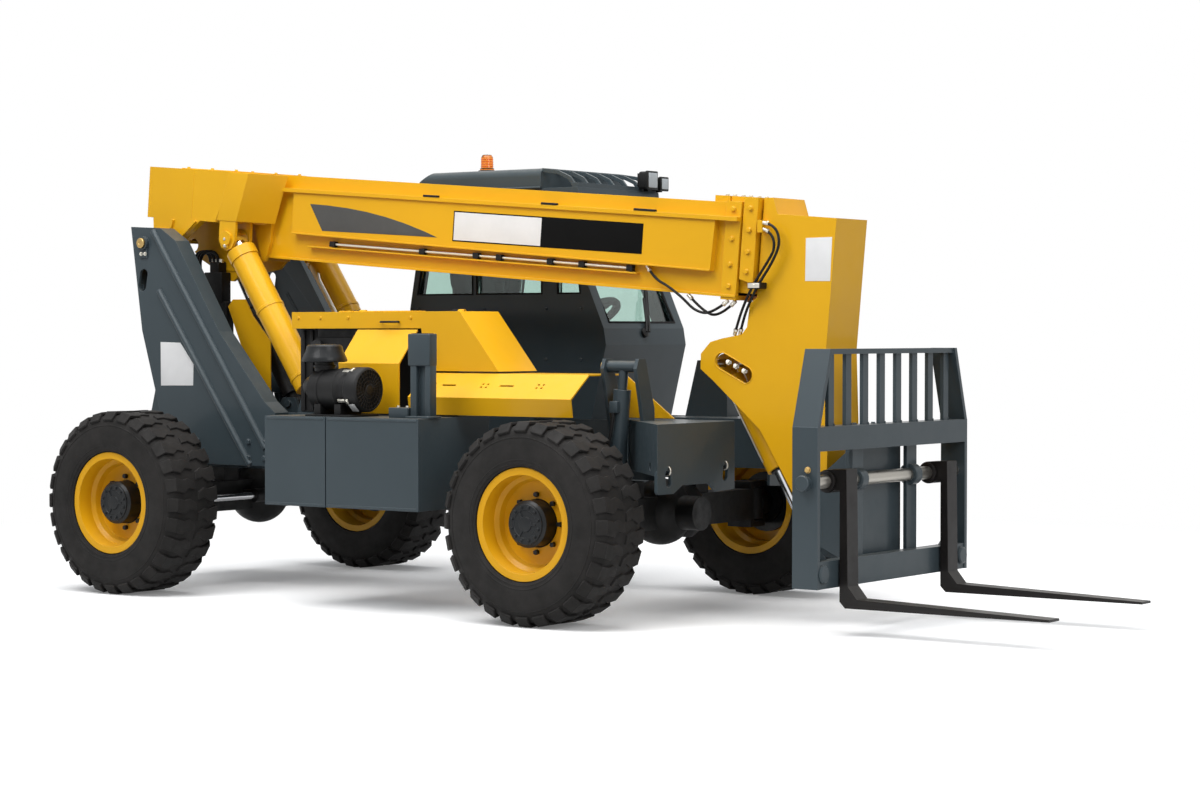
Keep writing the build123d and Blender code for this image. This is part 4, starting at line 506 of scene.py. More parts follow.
def boom_hoses():
    for name, (body, points) in HOSES.items():
        hose = curved(name + "_line", points, "NURBS", bevel_depth=HOSE / 2, bevel_resolution=4,
                      resolution_u=10, use_fill_caps=True)
        hose.data.materials.append(hose_rubber)
        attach(hose, body)
        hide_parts(name)
        ends = [facing(points[0] - 0.004 * (points[1] - points[0]).normalized(), points[1] - points[0]),
                facing(points[-1] + 0.004 * (points[-1] - points[-2]).normalized(),
                       points[-2] - points[-1])]
        fittings = dress(copies(name + "_ends", ferrule(), ends), body, zinc, 30)
    # twin clamp of the two head hoses, with its cover strap and bolt
    low = ahead(0.676, -0.216, 1.668)
    high = ahead(0.752, -0.149, 1.7)
    dress(block("head_hose_clamp", low, high, 0.006, 3), "boom_inner", black_plastic)
    strap = block("head_clamp_strap", (low.x + 0.004, low.y - 0.003, low.z + 0.004),
                  (high.x - 0.004, low.y + 0.001, high.z - 0.004), 0.001)
    dress(strap, "boom_inner", zinc)
    bolts("head_clamp_bolt", "boom_inner", 0.008, [(((low.x + high.x) / 2, low.y - 0.002, 1.684),
                                                    (0, -1, 0))])


# ---------------------------------------------------------------- signs and stripes, all blank
def side_signs():
    """Stripes and blank plates; outlines run along and up from the boom's pivot or the origin."""
    wedge_top = [(0.96 + 0.943 * u, 0.29 - 0.135 * u**2.2) for u in (0, 0.15, 0.3, 0.45, 0.6, 0.75, 0.9, 1)]
    signs = (
        ("grey_wedge", wedge_top + [(1.64, 0.152), (1.062, 0.143)], grey_film, 0),
        ("sign_border", [(2.01, 0.141), (3.272, 0.149), (3.272, 0.307), (2.01, 0.307)], black_film, 0),
        ("blank_white_sign", [(2.018, 0.148), (2.612, 0.151), (2.612, 0.3), (2.018, 0.3)],
         white_film, 0.0008),
        ("blank_black_sign", [(2.614, 0.151), (3.264, 0.156), (3.264, 0.3), (2.614, 0.3)],
         black_film, 0.0008),
    )
    for side, tag in SIDES:
        for name, outline, film, proud in signs:
            piece = cut_plate(f"{name}_{tag}", outline, 0.0012, 0.0002)
            dress(moved(piece, BOOM @ beside(side * (COVER_FACE + proud), side)), "boom_outer", film)
    plates = (
        ("goose", "boom_inner", GOOSE_FACE, [(1.426, 1.705), (1.571, 1.703), (1.582, 1.921), (1.431, 1.919)]),
        ("upright", "chassis", UPRIGHT_FACE,
         [(-2.67, 1.394), (-2.512, 1.39), (-2.408, 1.268), (-2.412, 1.146), (-2.668, 1.143)]),
    )
    for side, tag in SIDES:
        for name, body, face, outline in plates:
            piece = cut_plate(f"{name}_blank_plate_{tag}", outline, 0.0012, 0.0002)
            dress(moved(piece, beside(side * face, side)), body, white_film)


# ---------------------------------------------------------------- boom
RAIL_RUNS = ((1.145, 1.732), (1.843, 2.152), (2.181, 2.267), (2.386, 2.61), (2.732, 2.82), (2.94, 3.165))
# stretches along the boom of the ledge's dark gaps, filled with black strips as painted shade
LEDGE_DARK_GAPS = ((1.794, 1.9), (2.607, 2.713), (3.211, 3.348))


def boom_fittings():
    for side, tag in SIDES:
        way = (0, side, 0)
        # hydraulic line under the side cover, bright between its dark clamps
        y = side * (BOOM_SIDE + 0.014)
        line = pipe(f"boom_line_{tag}", [boom_point(1.12, 0.072, y), boom_point(3.2, 0.072, y)], 0.0085,
                    smooth=False)
        dress(line, "boom_outer", zinc)
        # lip that makes the line's channel, and a drip edge along the cover
        lip = block("lip", (0.95, side * 0.188 - 0.019, 0.044), (3.24, side * 0.188 + 0.019, 0.052), 0.002)
        drip = cut_plate("drip", [(0.832, 0.114), (3.7, 0.089), (3.7, 0.098), (0.832, 0.123)], 0.008)
        moved(drip, beside(side * (COVER_FACE - 0.001), side))
        channel = moved(joined(f"boom_channel_{tag}", [lip, drip]), BOOM)
        dress(channel, "boom_outer", yellow)
        clamp = block("clamp", (-0.02, -0.016, -0.016), (0.02, 0.016, 0.016), 0.004)
        gaps = [(end + start) / 2 for (_, end), (start, _) in zip(RAIL_RUNS, RAIL_RUNS[1:])]
        spots = [BOOM @ Matrix.Translation((s, y, 0.072)) for s in [1.13, *gaps, 3.19]]
        clamps = copies(f"boom_line_clamps_{tag}", clamp, spots)
        dress(clamps, "boom_outer", black_plastic)
        # black strips in the ledge's slots: painted shade of the dark gaps there
        gap_shades = [
            moved(block("pad", (start, side * 0.215 - 0.01, 0.3715), (end, side * 0.215 + 0.01, 0.384),
                        0.003), BOOM) for start, end in LEDGE_DARK_GAPS
        ]
        dress(joined(f"ledge_pads_{tag}", gap_shades), "boom_outer", black_plastic)
        # bolts of the wear pads in both collars
        spots = [(boom_point(3.805, t, side * 0.186), way) for t in (0.02, 0.13, 0.26, 0.41)]
        bolts(f"collar_bolts_{tag}", "boom_outer", 0.014, spots, yellow)
        spots = [(boom_point(3.904, t, side * 0.182), way) for t in (0.1, 0.2, 0.31, 0.42)]
        bolts(f"mid_collar_bolts_{tag}", "boom_mid", 0.014, spots, yellow)
        # weld runs down the housing's seams
        seams = [pipe("seam", [boom_point(*start), boom_point(*end)], 0.0022, smooth=False)
                 for start, end in (
            ((0.22, 0.165, side * 0.4), (0.22, 0.435, side * 0.4)),
            ((0.745, 0.349, side * 0.2085), (3.7, 0.349, side * 0.2085)),
        )]
        dress(joined(f"boom_welds_{tag}", seams), "boom_outer", yellow)
        # keeper plates of the lift pins with their bolts
        pin = LIFT_PIN + Vector((0, side * 0.401, 0))
        keeper = cut_plate("keeper", [(-0.02, -0.055), (0.02, -0.055), (0.02, 0.012), (-0.02, 0.012)], 0.006)
        keeper = moved(keeper, Matrix.Translation((pin.x, 0, pin.z)) @ beside(pin.y, side))
        dress(keeper, "boom_outer", yellow)
        bolts(f"keeper_bolts_{tag}", "boom_outer", 0.01,
              [(pin + Vector((0, side * 0.006, up)), way) for up in (-0.042, -0.004)])
        # sheet over the lift cylinder's lugs, leaning forward
        cheek = [(0.42, 0.212), (0.42, 0.4005), (0.572, 0.4005), (0.702, 0.212)]
        lean = Matrix(((1, 0, 0.28, 0), (0, side, 0, 0), (0, 0, 1, 0.161), (0, 0, 0, 1)))
        cheek = moved(cut_plate(f"lug_cheek_{tag}", cheek, 0.28, 0.002), BOOM @ lean)
        dress(cheek, "boom_outer", yellow)
    top_way = BOOM.to_3x3() @ Vector((0, 0, 1))
    spots = [(boom_point(s, 0.477, y), top_way) for s in (3.713, 3.81) for y in (-0.11, -0.04, 0.04, 0.11)]
    bolts("head_pad_bolts", "boom_outer", 0.012, spots, zinc)
    spots = [(boom_point(3.805, -0.049, y), -top_way) for y in (-0.12, 0, 0.12)]
    bolts("head_under_bolts", "boom_outer", 0.012, spots, zinc)
    # housing's top cover with its bolts
    lid = moved(block("lid", (0.02, -0.3, 0.444), (0.46, 0.3, 0.45), 0.0015), BOOM)
    dress(lid, "boom_outer", yellow)
    spots = [(boom_point(s, 0.45, y), top_way) for s in (0.05, 0.24, 0.43) for y in (-0.27, 0.27)]
    bolts("housing_lid_bolts", "boom_outer", 0.01, spots, yellow)


def goose_fittings():
    for side, tag in SIDES:
        way = (0, side, 0)
        boss = turned("boss", [(0.04, 0), (0.043, 0.003), (0.043, 0.01), (0.038, 0.013), (0.012, 0.013),
                               (0.01, 0.016)], 28)
        boss = moved(boss, facing(ahead(1.02, side * 0.22, 0.55), way))
        dress(boss, "carriage", yellow_zinc)
        slot_edge = []
        for angle in around(24):
            run = 0.078 if cos(angle) > 0 else -0.078
            slot_edge.append((run + 0.044 * cos(angle), 0.044 * sin(angle), 0))
        rim = pipe("slot_rim", slot_edge, 0.003, smooth=False, closed=True)
        tilt = Matrix.Translation(ahead(0.552, 0, 1.268)) @ Matrix.Rotation(radians(26.7), 4, "Y")
        rim = moved(rim, tilt @ beside(side * GOOSE_FACE, side))
        dress(rim, "boom_inner", yellow)
    # pin of the tilt cylinder's head and the pipe ends seen through the slot
    pin = turned("pin", [(0.018, -0.128), (0.0195, -0.126), (0.0195, 0.126), (0.018, 0.128)], 24)
    head = facing(TILT_HEAD, (0, 1, 0))
    dress(moved(pin, head), "boom_inner", worn_steel)
    elbows = []
    for x, z in ((0.5, 1.292), (0.545, 1.272), (0.595, 1.248)):
        nut = turned("nut", [(0.013, 0), (0.015, 0.002), (0.015, 0.016), (0.013, 0.018), (0.009, 0.018),
                             (0.009, 0.034)], 6)
        elbows.append(moved(nut, facing((FRONT_X + x, -0.112, z), (0.3, -0.9, 0.3))))
    dress(joined("slot_pipe_ends", elbows), "boom_inner", zinc)


# ---------------------------------------------------------------- wheels
CARCASS = (  # across the tyre, radius
    (0.1555, 0.258), (0.1555, 0.284), (0.179, 0.285), (0.1895, 0.306), (0.1915, 0.345), (0.1905, 0.4),
    (0.184, 0.434), (0.172, 0.461), (0.152, 0.481), (0.12, 0.4915), (0.06, 0.4955),
)
LUG_PITCHES = 28
LUG_PLAN = (  # around the tyre, out from its middle
    (-0.03, 0.006), (0.012, 0.012), (0.036, 0.056), (0.028, 0.092), (0.042, 0.152), (-0.032, 0.152),
    (-0.046, 0.098), (-0.02, 0.058),
)


def tyre():
    """A tyre about Z: a spun carcass, two rows of bent lugs and the blocks on its shoulders."""
    outline = [(r, w) for w, r in CARCASS] + [(r, -w) for w, r in reversed(CARCASS)]
    carcass = meshed(curved("carcass", [(radius, 0, across) for radius, across in outline], closed=True))
    edit_all(carcass)
    bpy.ops.mesh.spin(steps=96, angle=2 * pi, center=(0, 0, 0), axis=(0, 0, 1))
    bpy.ops.mesh.select_all(action="SELECT")
    bpy.ops.mesh.remove_doubles(threshold=0.0001)
    close_edit(carcass, "carcass")
    bar = cut_plate("bar", LUG_PLAN, 0.016, 0.003)
    bar.data.transform(Matrix(((0, 0, 1, 0.4892), (1, 0, 0, 0), (0, 1, 0, 0), (0, 0, 0, 1))))
    edge = block("edge", (-0.033, -0.004, -0.004), (0.041, 0.056, 0.0125), 0.003, 1)
    slant = Matrix(((0, -0.769, 0.639, 0.4955), (1, 0, 0, 0), (0, 0.639, 0.769, 0.144), (0, 0, 0, 1)))
    edge.data.transform(slant)
    lug = joined("lug", [bar, edge])
    mirror = Matrix.Diagonal((1, 1, -1, 1))
    places = [Matrix.Rotation(angle, 4, "Z") for angle in around(LUG_PITCHES)]
    places += [Matrix.Rotation(angle, 4, "Z") @ mirror for angle in around(LUG_PITCHES, 0.5)]
    lugs = copies("lugs", lug, places)
    edit_all(lugs)
    close_edit(lugs, "lugs")
    ribs = [moved(ring("rib", radius, thickness, 96), Matrix.Translation((0, 0, height)))
            for radius, thickness, height in (
                (0.3, 0.0045, 0.1845), (0.318, 0.003, 0.189), (0.428, 0.003, 0.1848))]
    return joined("tyre", [carcass, lugs, *ribs])


def wheels():
    pattern = tyre()
    for corner in CORNERS:
        side = 1 if corner.endswith("l") else -1
        low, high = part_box(f"tyre_{corner}")
        centre = Vector(((low[0] + high[0]) / 2, side * WHEEL_Y, AXLE_Z))
        out = facing(centre, (0, side, 0))
        piece = own_copy(pattern, f"road_tyre_{corner}")
        piece.data.transform(out)
        dress(piece, f"wheel_{corner}", tyre_rubber, 40)
        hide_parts(f"tyre_{corner}")
        cap = turned("cap", [(0.1, 0), (0.102, 0.002), (0.102, 0.006), (0.098, 0.009), (0.07, 0.009),
                             (0.067, 0.005), (0.04, 0.005), (0.037, 0.01), (0.018, 0.012)], 48)
        cap = moved(cap, out @ Matrix.Translation((0, 0, 0.1385)))
        web = block("web", (0.02, -0.005, 0.142), (0.066, 0.005, 0.149), 0.002)
        webs = copies("webs", web, [out @ Matrix.Rotation(angle, 4, "Z") for angle in around(3)])
        dress(joined(f"hub_cover_{corner}", [cap, webs]), f"wheel_{corner}", hub_black)
        spots = [(out @ Vector((0.084 * cos(angle), 0.084 * sin(angle), 0.1475)), (0, side, 0))
                 for angle in around(12, 0.5)]
        bolts(f"hub_bolts_{corner}", f"wheel_{corner}", 0.009, spots, hub_black)
        stem = turned("stem", [(0.006, 0), (0.006, 0.02), (0.004, 0.022), (0.004, 0.034), (0.0055, 0.035),
                               (0.0055, 0.045), (0.004, 0.046)], 12)
        stem = moved(stem, out @ Matrix.Translation((0.222, 0, 0.075)))
        dress(stem, f"wheel_{corner}", black_plastic)
        # ring weld around the rim's disc
        weld = moved(ring("weld", 0.216, 0.004, 72), out @ Matrix.Translation((0, 0, 0.0445)))
        dress(weld, f"wheel_{corner}", wheel_yellow, 60)
    bpy.data.objects.remove(pattern)


def axle_fittings():
    for name, x, way in (("front_axle", FRONT_X, 1), ("rear_axle", REAR_X, -1)):
        case = turned("case", [(0.13, 0), (0.138, 0.01), (0.138, 0.04), (0.128, 0.052), (0.105, 0.07),
                               (0.07, 0.082), (0.066, 0.1)], 32)
        dress(moved(case, facing((x + way * 0.075, 0.1, AXLE_Z), (way, 0, 0))), "chassis", axle_black)
        spots = [((x + way * 0.112, 0.1 + 0.12 * cos(angle), AXLE_Z + 0.12 * sin(angle)), (way, 0, 0))
                 for angle in around(10)]
        bolts(f"{name}_case_bolts", "chassis", 0.01, spots, axle_black)
    # spacer bolts at the axle's trunnion
    rods = [
        moved(turned("rod", [(0.01, 0), (0.011, 0.002), (0.011, 0.126), (0.01, 0.128)], 16),
              Matrix.Translation(ahead(0.02, y, 0.43))) for y in (0.545, 0.615)
    ]
    dress(joined("trunnion_rods", rods), "chassis", worn_steel)
    spots = [(ahead(0.02, y, 0.43), (0, 0, -1)) for y in (0.515, 0.545, 0.615)]
    bolts("trunnion_nuts", "chassis", 0.012, spots, worn_steel)


# ---------------------------------------------------------------- frame, uprights and tail
def frame_fittings():
    for side, tag in SIDES:
        way = (0, side, 0)
        # pivot pin head with its yellow zinc plug and lock plate
        plug = turned("plug", [(0.026, 0), (0.029, 0.002), (0.029, 0.012), (0.026, 0.015), (0.01, 0.015),
                               (0.008, 0.012)], 28)
        dress(moved(plug, facing((PIVOT.x, side * 0.572, PIVOT.z), way)), "chassis", yellow_zinc)
        lock = cut_plate("lock", [(-0.03, -0.085), (0.03, -0.085), (0.03, -0.03), (0.018, -0.02),
                                  (-0.018, -0.02), (-0.03, -0.03)], 0.008)
        lock = moved(lock, Matrix.Translation((PIVOT.x, 0, PIVOT.z)) @ beside(side * UPRIGHT_FACE, side))
        dress(lock, "chassis", blue_grey)
        bolts(f"pivot_lock_bolts_{tag}", "chassis", 0.011,
              [((PIVOT.x + x, side * 0.558, PIVOT.z - 0.062), way) for x in (-0.016, 0.016)])
        tubes = [pipe("tube", [(x0, side * 0.553, z0), (x1, side * 0.553, z1)], 0.017, smooth=False)
                 for x0, z0, x1, z1 in ((-2.724, 2.026, -1.852, 0.803), (-2.676, 1.684, -1.972, 0.709))]
        dress(joined(f"upright_tubes_{tag}", tubes), "chassis", blue_grey, 60)
        # bolts that hold the uprights to the rails
        spots = [((x, side * UPRIGHT_FACE, z), way)
                 for x in (-2.5, -2.38, -1.98, -1.86) for z in (0.745, 0.835)]
        bolts(f"upright_bolts_{tag}", "chassis", 0.016, spots, blue_grey)
        # tail lamps with red lenses let into the counterweight
        y = side * 0.3
        seat = block("tail_frame", (-2.962, y - 0.066, 0.895), (-2.905, y + 0.066, 0.985), 0.006, 3)
        dress(seat, "chassis", black_plastic)
        lens = block(f"tail_lens_{tag}", (-2.968, y - 0.056, 0.905), (-2.95, y + 0.056, 0.975), 0.005, 3)
        dress(lens, "chassis", red_lens)
        # rings in the front box's tie-down slots
        hooks = [moved(ring("hook", 0.02, 0.0055, 32), facing(ahead(0.566, side * across, z), (0.2, 1, 0)))
                 for across, z in ((0.764, 0.77), (0.254, 0.778))]
        dress(joined(f"tie_rings_{tag}", hooks), "chassis", worn_steel, 60)
    # bolts through the counterweight's back
    spots = [((-2.945, y, 0.64), (-1, 0, 0.2)) for y in (-0.22, 0.22)]
    bolts("counterweight_bolts", "chassis", 0.02, spots, blue_grey)
    # towing pin in its two ears
    outline = [(-2.985, -0.06), (-2.9, -0.06), (-2.9, 0.06), (-2.985, 0.06), (-3.01, 0.03), (-3.01, -0.03)]
    for z in (0.735, 0.815):
        ear = cut_plate(f"tow_ear_{int(z * 1000)}", outline, 0.014, 0.002)
        dress(moved(ear, Matrix.Translation((0.045, 0, z))), "chassis", blue_grey)
    pin = turned("tow_pin", [(0.012, 0.7), (0.014, 0.703), (0.014, 0.85), (0.022, 0.851), (0.022, 0.862),
                             (0.018, 0.866)], 20)
    dress(moved(pin, Matrix.Translation((-2.945, 0, 0))), "chassis", zinc)


def level_fittings():
    """Brass-coloured pin heads of the frame levelling cylinder, its port block and pipe."""
    y, z = -0.5, 1.275
    heads = []
    for x, way in ((0.21, 1), (0.006, -1)):
        head = turned("head", [(0.028, 0), (0.031, 0.003), (0.031, 0.012), (0.027, 0.016), (0.012, 0.016),
                               (0.01, 0.013)], 28)
        heads.append(moved(head, facing(ahead(x, y, z), (way, 0, 0))))
    dress(joined("level_pin_heads", heads), "chassis", yellow_zinc)
    port = block("level_port", ahead(0.07, y - 0.066, 1.04), ahead(0.12, y - 0.036, 1.1), 0.004)
    dress(port, "chassis", blue_grey)
    hose = pipe("level_pipe", [ahead(0.095, y - 0.058, 1.05), ahead(0.085, y - 0.062, 0.96),
                               ahead(0.06, y - 0.062, 0.86), ahead(0.04, y - 0.03, 0.78),
                               ahead(0.03, y + 0.03, 0.76)], 0.008)
    dress(hose, "chassis", black_plastic)


def box_fittings():
    low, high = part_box("side_box")
    seam_x = FRONT_X - 1.31
    # folded lips over and under the two lids
    for tag, x0, x1 in (("rear", low[0] + 0.012, seam_x - 0.02), ("front", seam_x + 0.012, high[0] - 0.012)):
        for part, proud, z in (("lip", 0.003, high[2] - 0.016), ("foot", 0.002, low[2] + 0.004)):
            fold = block(f"box_{part}_{tag}", (x0, low[1] - proud, z), (x1, low[1] + 0.01, z + 0.012), 0.002)
            dress(fold, "chassis", blue_grey)
    # filler cap of the oil tank with its breather
    cap = turned("oil_cap", [(0.046, 0), (0.046, 0.012), (0.038, 0.014), (0.038, 0.02), (0.044, 0.022),
                             (0.044, 0.04), (0.038, 0.045)], 28)
    dress(moved(cap, Matrix.Translation(ahead(-0.95, -0.72, high[2]))), "chassis", black_plastic)
    # straps and cap of the fuel tank, and the bright treads of the step
    tank_low, tank_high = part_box("fuel_tank")
    straps = [block("strap", (x - 0.025, 0.445, tank_low[2] - 0.004),
                    (x + 0.025, 1.064, tank_high[2] + 0.004), 0.003)
              for x in (FRONT_X - 1.72, FRONT_X - 0.9)]
    dress(joined("tank_straps", straps), "chassis", blue_grey)
    cap = turned("fuel_cap", [(0.04, 0), (0.04, 0.01), (0.052, 0.012), (0.052, 0.034), (0.046, 0.04),
                              (0.02, 0.042)], 28)
    cap = moved(cap, facing(ahead(-1.82, 1.06, 0.66), (0, 1, 0)))
    dress(cap, "chassis", black_plastic)
    treads = [block("tread", (x, 1.062, 0.544), (x + 0.016, 1.156, 0.551), 0.002)
              for x in [FRONT_X - 1.475 + step * 0.05 for step in range(10)]]
    dress(joined("step_treads", treads), "chassis", worn_steel)


# ---------------------------------------------------------------- hood, air cleaner and exhaust
def guard():
    """Cowl without its outer guard, and the guard inboard of the lift cylinder."""
    cowl = own_copy(nodes["engine_cowl"], "cowl_sheets")
    place = nodes["engine_cowl"].matrix_world.copy()
    cowl.parent = None
    cowl.matrix_world = Matrix()
    cowl.data.transform(place)
    pick(cowl)
    for part in (*cowl.data.polygons, *cowl.data.edges):
        part.select = False
    for vertex in cowl.data.vertices:
        vertex.select = vertex.co.x < -1.8
    bpy.ops.object.mode_set(mode="EDIT")
    bpy.ops.mesh.delete(type="VERT")
    bpy.ops.object.mode_set(mode="OBJECT")
    dress(cowl, "chassis", yellow)
    outline = [(-2.438, 1.6), (-2.4, 1.64), (-2.3, 1.64), (-2.242, 1.544), (-2.105, 1.398), (-2.105, 1.012),
               (-2.242, 1.012), (-2.35, 1.229), (-2.34, 1.383)]
    plate = moved(cut_plate("cylinder_guard", outline, 0.008, 0.0015), beside(-0.228))
    dress(plate, "chassis", yellow)
    for part in (cowl, plate):
        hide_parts("engine_cowl")


def hood_fittings():
    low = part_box("engine_hood")[0]
    handle = pipe("hood_handle", [(-0.92, low[1] - 0.004, 1.505), (-0.92, low[1] - 0.034, 1.505),
                                  (-0.8, low[1] - 0.034, 1.505), (-0.8, low[1] - 0.004, 1.505)], 0.006)
    dress(handle, "hood", black_plastic)
    spots = [((x, low[1] + 0.001, 1.528), (0, -1, 0)) for x in (-1.52, -1.36, -1.16, -0.72)]
    bolts("hood_bolts", "hood", 0.009, spots, yellow)
    fins = [block("fin", (x, -0.56, 1.553), (x + 0.028, -0.38, 1.566), 0.003)
            for x in [-1.3 + index * 0.055 for index in range(9)]]
    dress(joined("hood_louvres", fins), "hood", yellow)
    # rocker cover, manifold and inlet duct seen through the opening behind the air cleaner
    ribs = [block("rib", (x, -0.572, 1.02), (x + 0.022, -0.556, 1.46), 0.003) for x in
            (-1.56, -1.5, -1.44)]
    ribs += [
        block("head", (-1.585, -0.56, 1.01), (-1.425, -0.33, 1.5), 0.012, 3),
        block("head", (-1.43, -0.59, 1.41), (-0.9, -0.33, 1.535), 0.012, 3),
        moved(turned("filler", [(0.03, 0), (0.03, 0.03), (0.04, 0.034), (0.04, 0.06)], 24),
              facing((-1.4, -0.585, 1.35), (0, -1, 0.4))),
    ]
    dress(joined("engine_ribs", ribs), "chassis", engine_black)
    duct = pipe("inlet_duct", [(-1.05, -0.99, 1.15), (-1.135, -0.99, 1.15), (-1.165, -0.9, 1.185),
                               (-1.15, -0.76, 1.24), (-1.14, -0.56, 1.27)], 0.046)
    bands = []
    for x, y, z, way in ((-1.082, -0.99, 1.15, (1, 0, 0)), (-1.146, -0.69, 1.252, (0, 1, 0.15))):
        bands.append(moved(ring("band", 0.047, 0.004, 40), facing((x, y, z), way)))
    dress(duct, "chassis", hose_rubber, 60)
    dress(joined("duct_bands", bands), "chassis", zinc, 60)


def air_cleaner():
    """Canister with its finned end drum, bands, rain cap and feet."""
    y, z = -0.99, 1.15
    axis = facing((-1.065, y, z), (1, 0, 0))
    canister = turned("canister", [
        (0.088, 0), (0.106, 0.014), (0.108, 0.06), (0.112, 0.062), (0.112, 0.082), (0.108, 0.084),
        (0.108, 0.176), (0.113, 0.178), (0.113, 0.196), (0.106, 0.2), (0.094, 0.214), (0.094, 0.262),
        (0.112, 0.268), (0.118, 0.274), (0.118, 0.344), (0.113, 0.352), (0.104, 0.356), (0.101, 0.348),
        (0.03, 0.346), (0.024, 0.356), (0.01, 0.358),
    ], 56)
    moved(canister, axis)
    spoke = block("spoke", (0.026, -0.0018, 0.344), (0.102, 0.0018, 0.354), 0.0008, 1)
    spokes = copies("spokes", spoke, [axis @ Matrix.Rotation(angle, 4, "Z") for angle in around(28)])
    circles = [moved(ring("circle", radius, 0.0022, 48), axis @ Matrix.Translation((0, 0, 0.352)))
               for radius in (0.046, 0.066, 0.086)]
    neck = turned("neck", [(0.052, 1.2), (0.052, 1.262), (0.058, 1.264), (0.058, 1.276), (0.05, 1.278),
                           (0.05, 1.292), (0.07, 1.3)], 36)
    moved(neck, Matrix.Translation((-1.02, y, 0)))
    feet = [block("foot", (x, y - 0.085, SHELF), (x + 0.045, y + 0.085, 1.075), 0.004)
            for x in (-1.02, -0.88)]
    base = block("base", (-1.06, y - 0.11, SHELF), (-0.74, y + 0.11, 1.02), 0.003)
    piece = joined("air_canister", [canister, spokes, *circles, neck, *feet, base])
    dress(piece, "chassis", black_plastic)
    cap = turned("rain_cap", [(0.104, 1.292), (0.12, 1.296), (0.121, 1.306), (0.114, 1.322), (0.1, 1.352),
                              (0.094, 1.376), (0.084, 1.384), (0.03, 1.387)], 48)
    moved(cap, Matrix.Translation((-1.02, y, 0)))
    dress(cap, "chassis", hub_black)
    clip = joined("clip", [
        block("clip_arm", (-0.01, 0.11, 0.225), (0.01, 0.1165, 0.3), 0.002),
        block("clip_catch", (-0.014, 0.112, 0.286), (0.014, 0.126, 0.302), 0.003),
    ])
    turns = [axis @ Matrix.Rotation(radians(angle), 4, "Z") for angle in (30, 120, 210, 300)]
    clips = dress(copies("air_cleaner_clips", clip, turns), "chassis", zinc)
    label = block("blank_label", (-0.04, 0.1165, 0.29), (0.012, 0.1192, 0.332), 0.0006)
    moved(label, axis @ Matrix.Rotation(radians(135), 4, "Z"))
    dress(label, "chassis", white_film)
    for part in (piece, cap, clips):
        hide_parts("air_cleaner")


def exhaust():
    """Boxed exhaust stack: a post with its slot, a wider cap and the bracket beside it."""
    post = [
        block("post", (x0, y0, SHELF), (x1, -0.985, 1.29), bevel) for x0, y0, x1, bevel in (
            (-0.392, -1.04, -0.352, 0.004), (-0.294, -1.04, -0.262, 0.004), (-0.36, -1.012, -0.285, 0.002))
    ]
    post.append(block("cap", (-0.404, -1.046, 1.278), (-0.26, -0.982, 1.442), 0.006, 3))
    post.append(block("foot", (-0.404, -1.064, SHELF), (-0.25, -0.96, 1.02), 0.002))
    stack = dress(joined("exhaust_post", post), "chassis", blue_grey)
    # a black sheet on top of the cap stands for the stack's opening: painted shade of its deep inside, with
    # soot
    mouth = block("exhaust_mouth", (-0.39, -1.034, 1.44), (-0.274, -0.994, 1.4445), 0.001)
    dress(mouth, "chassis", black_plastic)
    bracket = block("stack_bracket", (-0.53, -1.05, SHELF), (-0.404, -0.96, 1.062), 0.004)
    dress(bracket, "chassis", blue_grey)
    spots = [((x, -1.004, 1.062), (0, 0, 1)) for x in (-0.5, -0.44)]
    bolts("stack_bracket_bolts", "chassis", 0.01, spots, zinc)
    for part in (stack, mouth):
        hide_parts("exhaust_stack")


# ---------------------------------------------------------------- lift tower plumbing
def tower_pipes():
    """Black steel lines and the valve block between the uprights."""
    stack = [
        block("valve", (-2.64, -0.225, 1.62), (-2.5, -0.145, 1.8), 0.006, 3),
        block("valve", (-2.6, -0.22, 1.79), (-2.53, -0.15, 1.86), 0.006, 3),
        block("valve", (-2.57, -0.22, 1.42), (-2.47, -0.15, 1.63), 0.01, 3),
    ]
    dress(joined("lift_valve_block", stack), "chassis", axle_black)
    upper = (  # point of the first line, and the step from one line to the next
        (-2.62, -0.19, 1.86, 0.03), (-2.62, -0.19, 1.9, 0.03), (-2.66, -0.21, 1.93, 0.03),
        (-2.72, -0.22, 1.9, 0.02), (-2.71, -0.22, 1.76, 0.02), (-2.64, -0.22, 1.55, 0.02),
        (-2.54, -0.21, 1.28, 0.02), (-2.44, -0.2, 1.05, 0.02), (-2.42, -0.2, 0.93, 0.02),
    )
    lower = (
        (-2.545, -0.19, 1.45, 0.03), (-2.54, -0.2, 1.36, 0.03), (-2.47, -0.2, 1.2, 0.03),
        (-2.38, -0.2, 1.02, 0.03), (-2.37, -0.2, 0.93, 0.03),
    )
    lines = [pipe("line", [(x + step * index, y, z) for x, y, z, step in route], radius)
             for route, radius in ((upper, 0.01), (lower, 0.012)) for index in range(3)]
    dress(joined("tower_lines", lines), "chassis", hose_rubber, 60)
    ends = [moved(turned("end", [(0.013, 0), (0.015, 0.002), (0.015, 0.022), (0.013, 0.024)], 6),
                  facing((-2.6 + 0.03 * index, -0.185, 1.855), (0, 0, 1))) for index in range(3)]
    dress(joined("valve_pipe_ends", ends), "chassis", zinc)


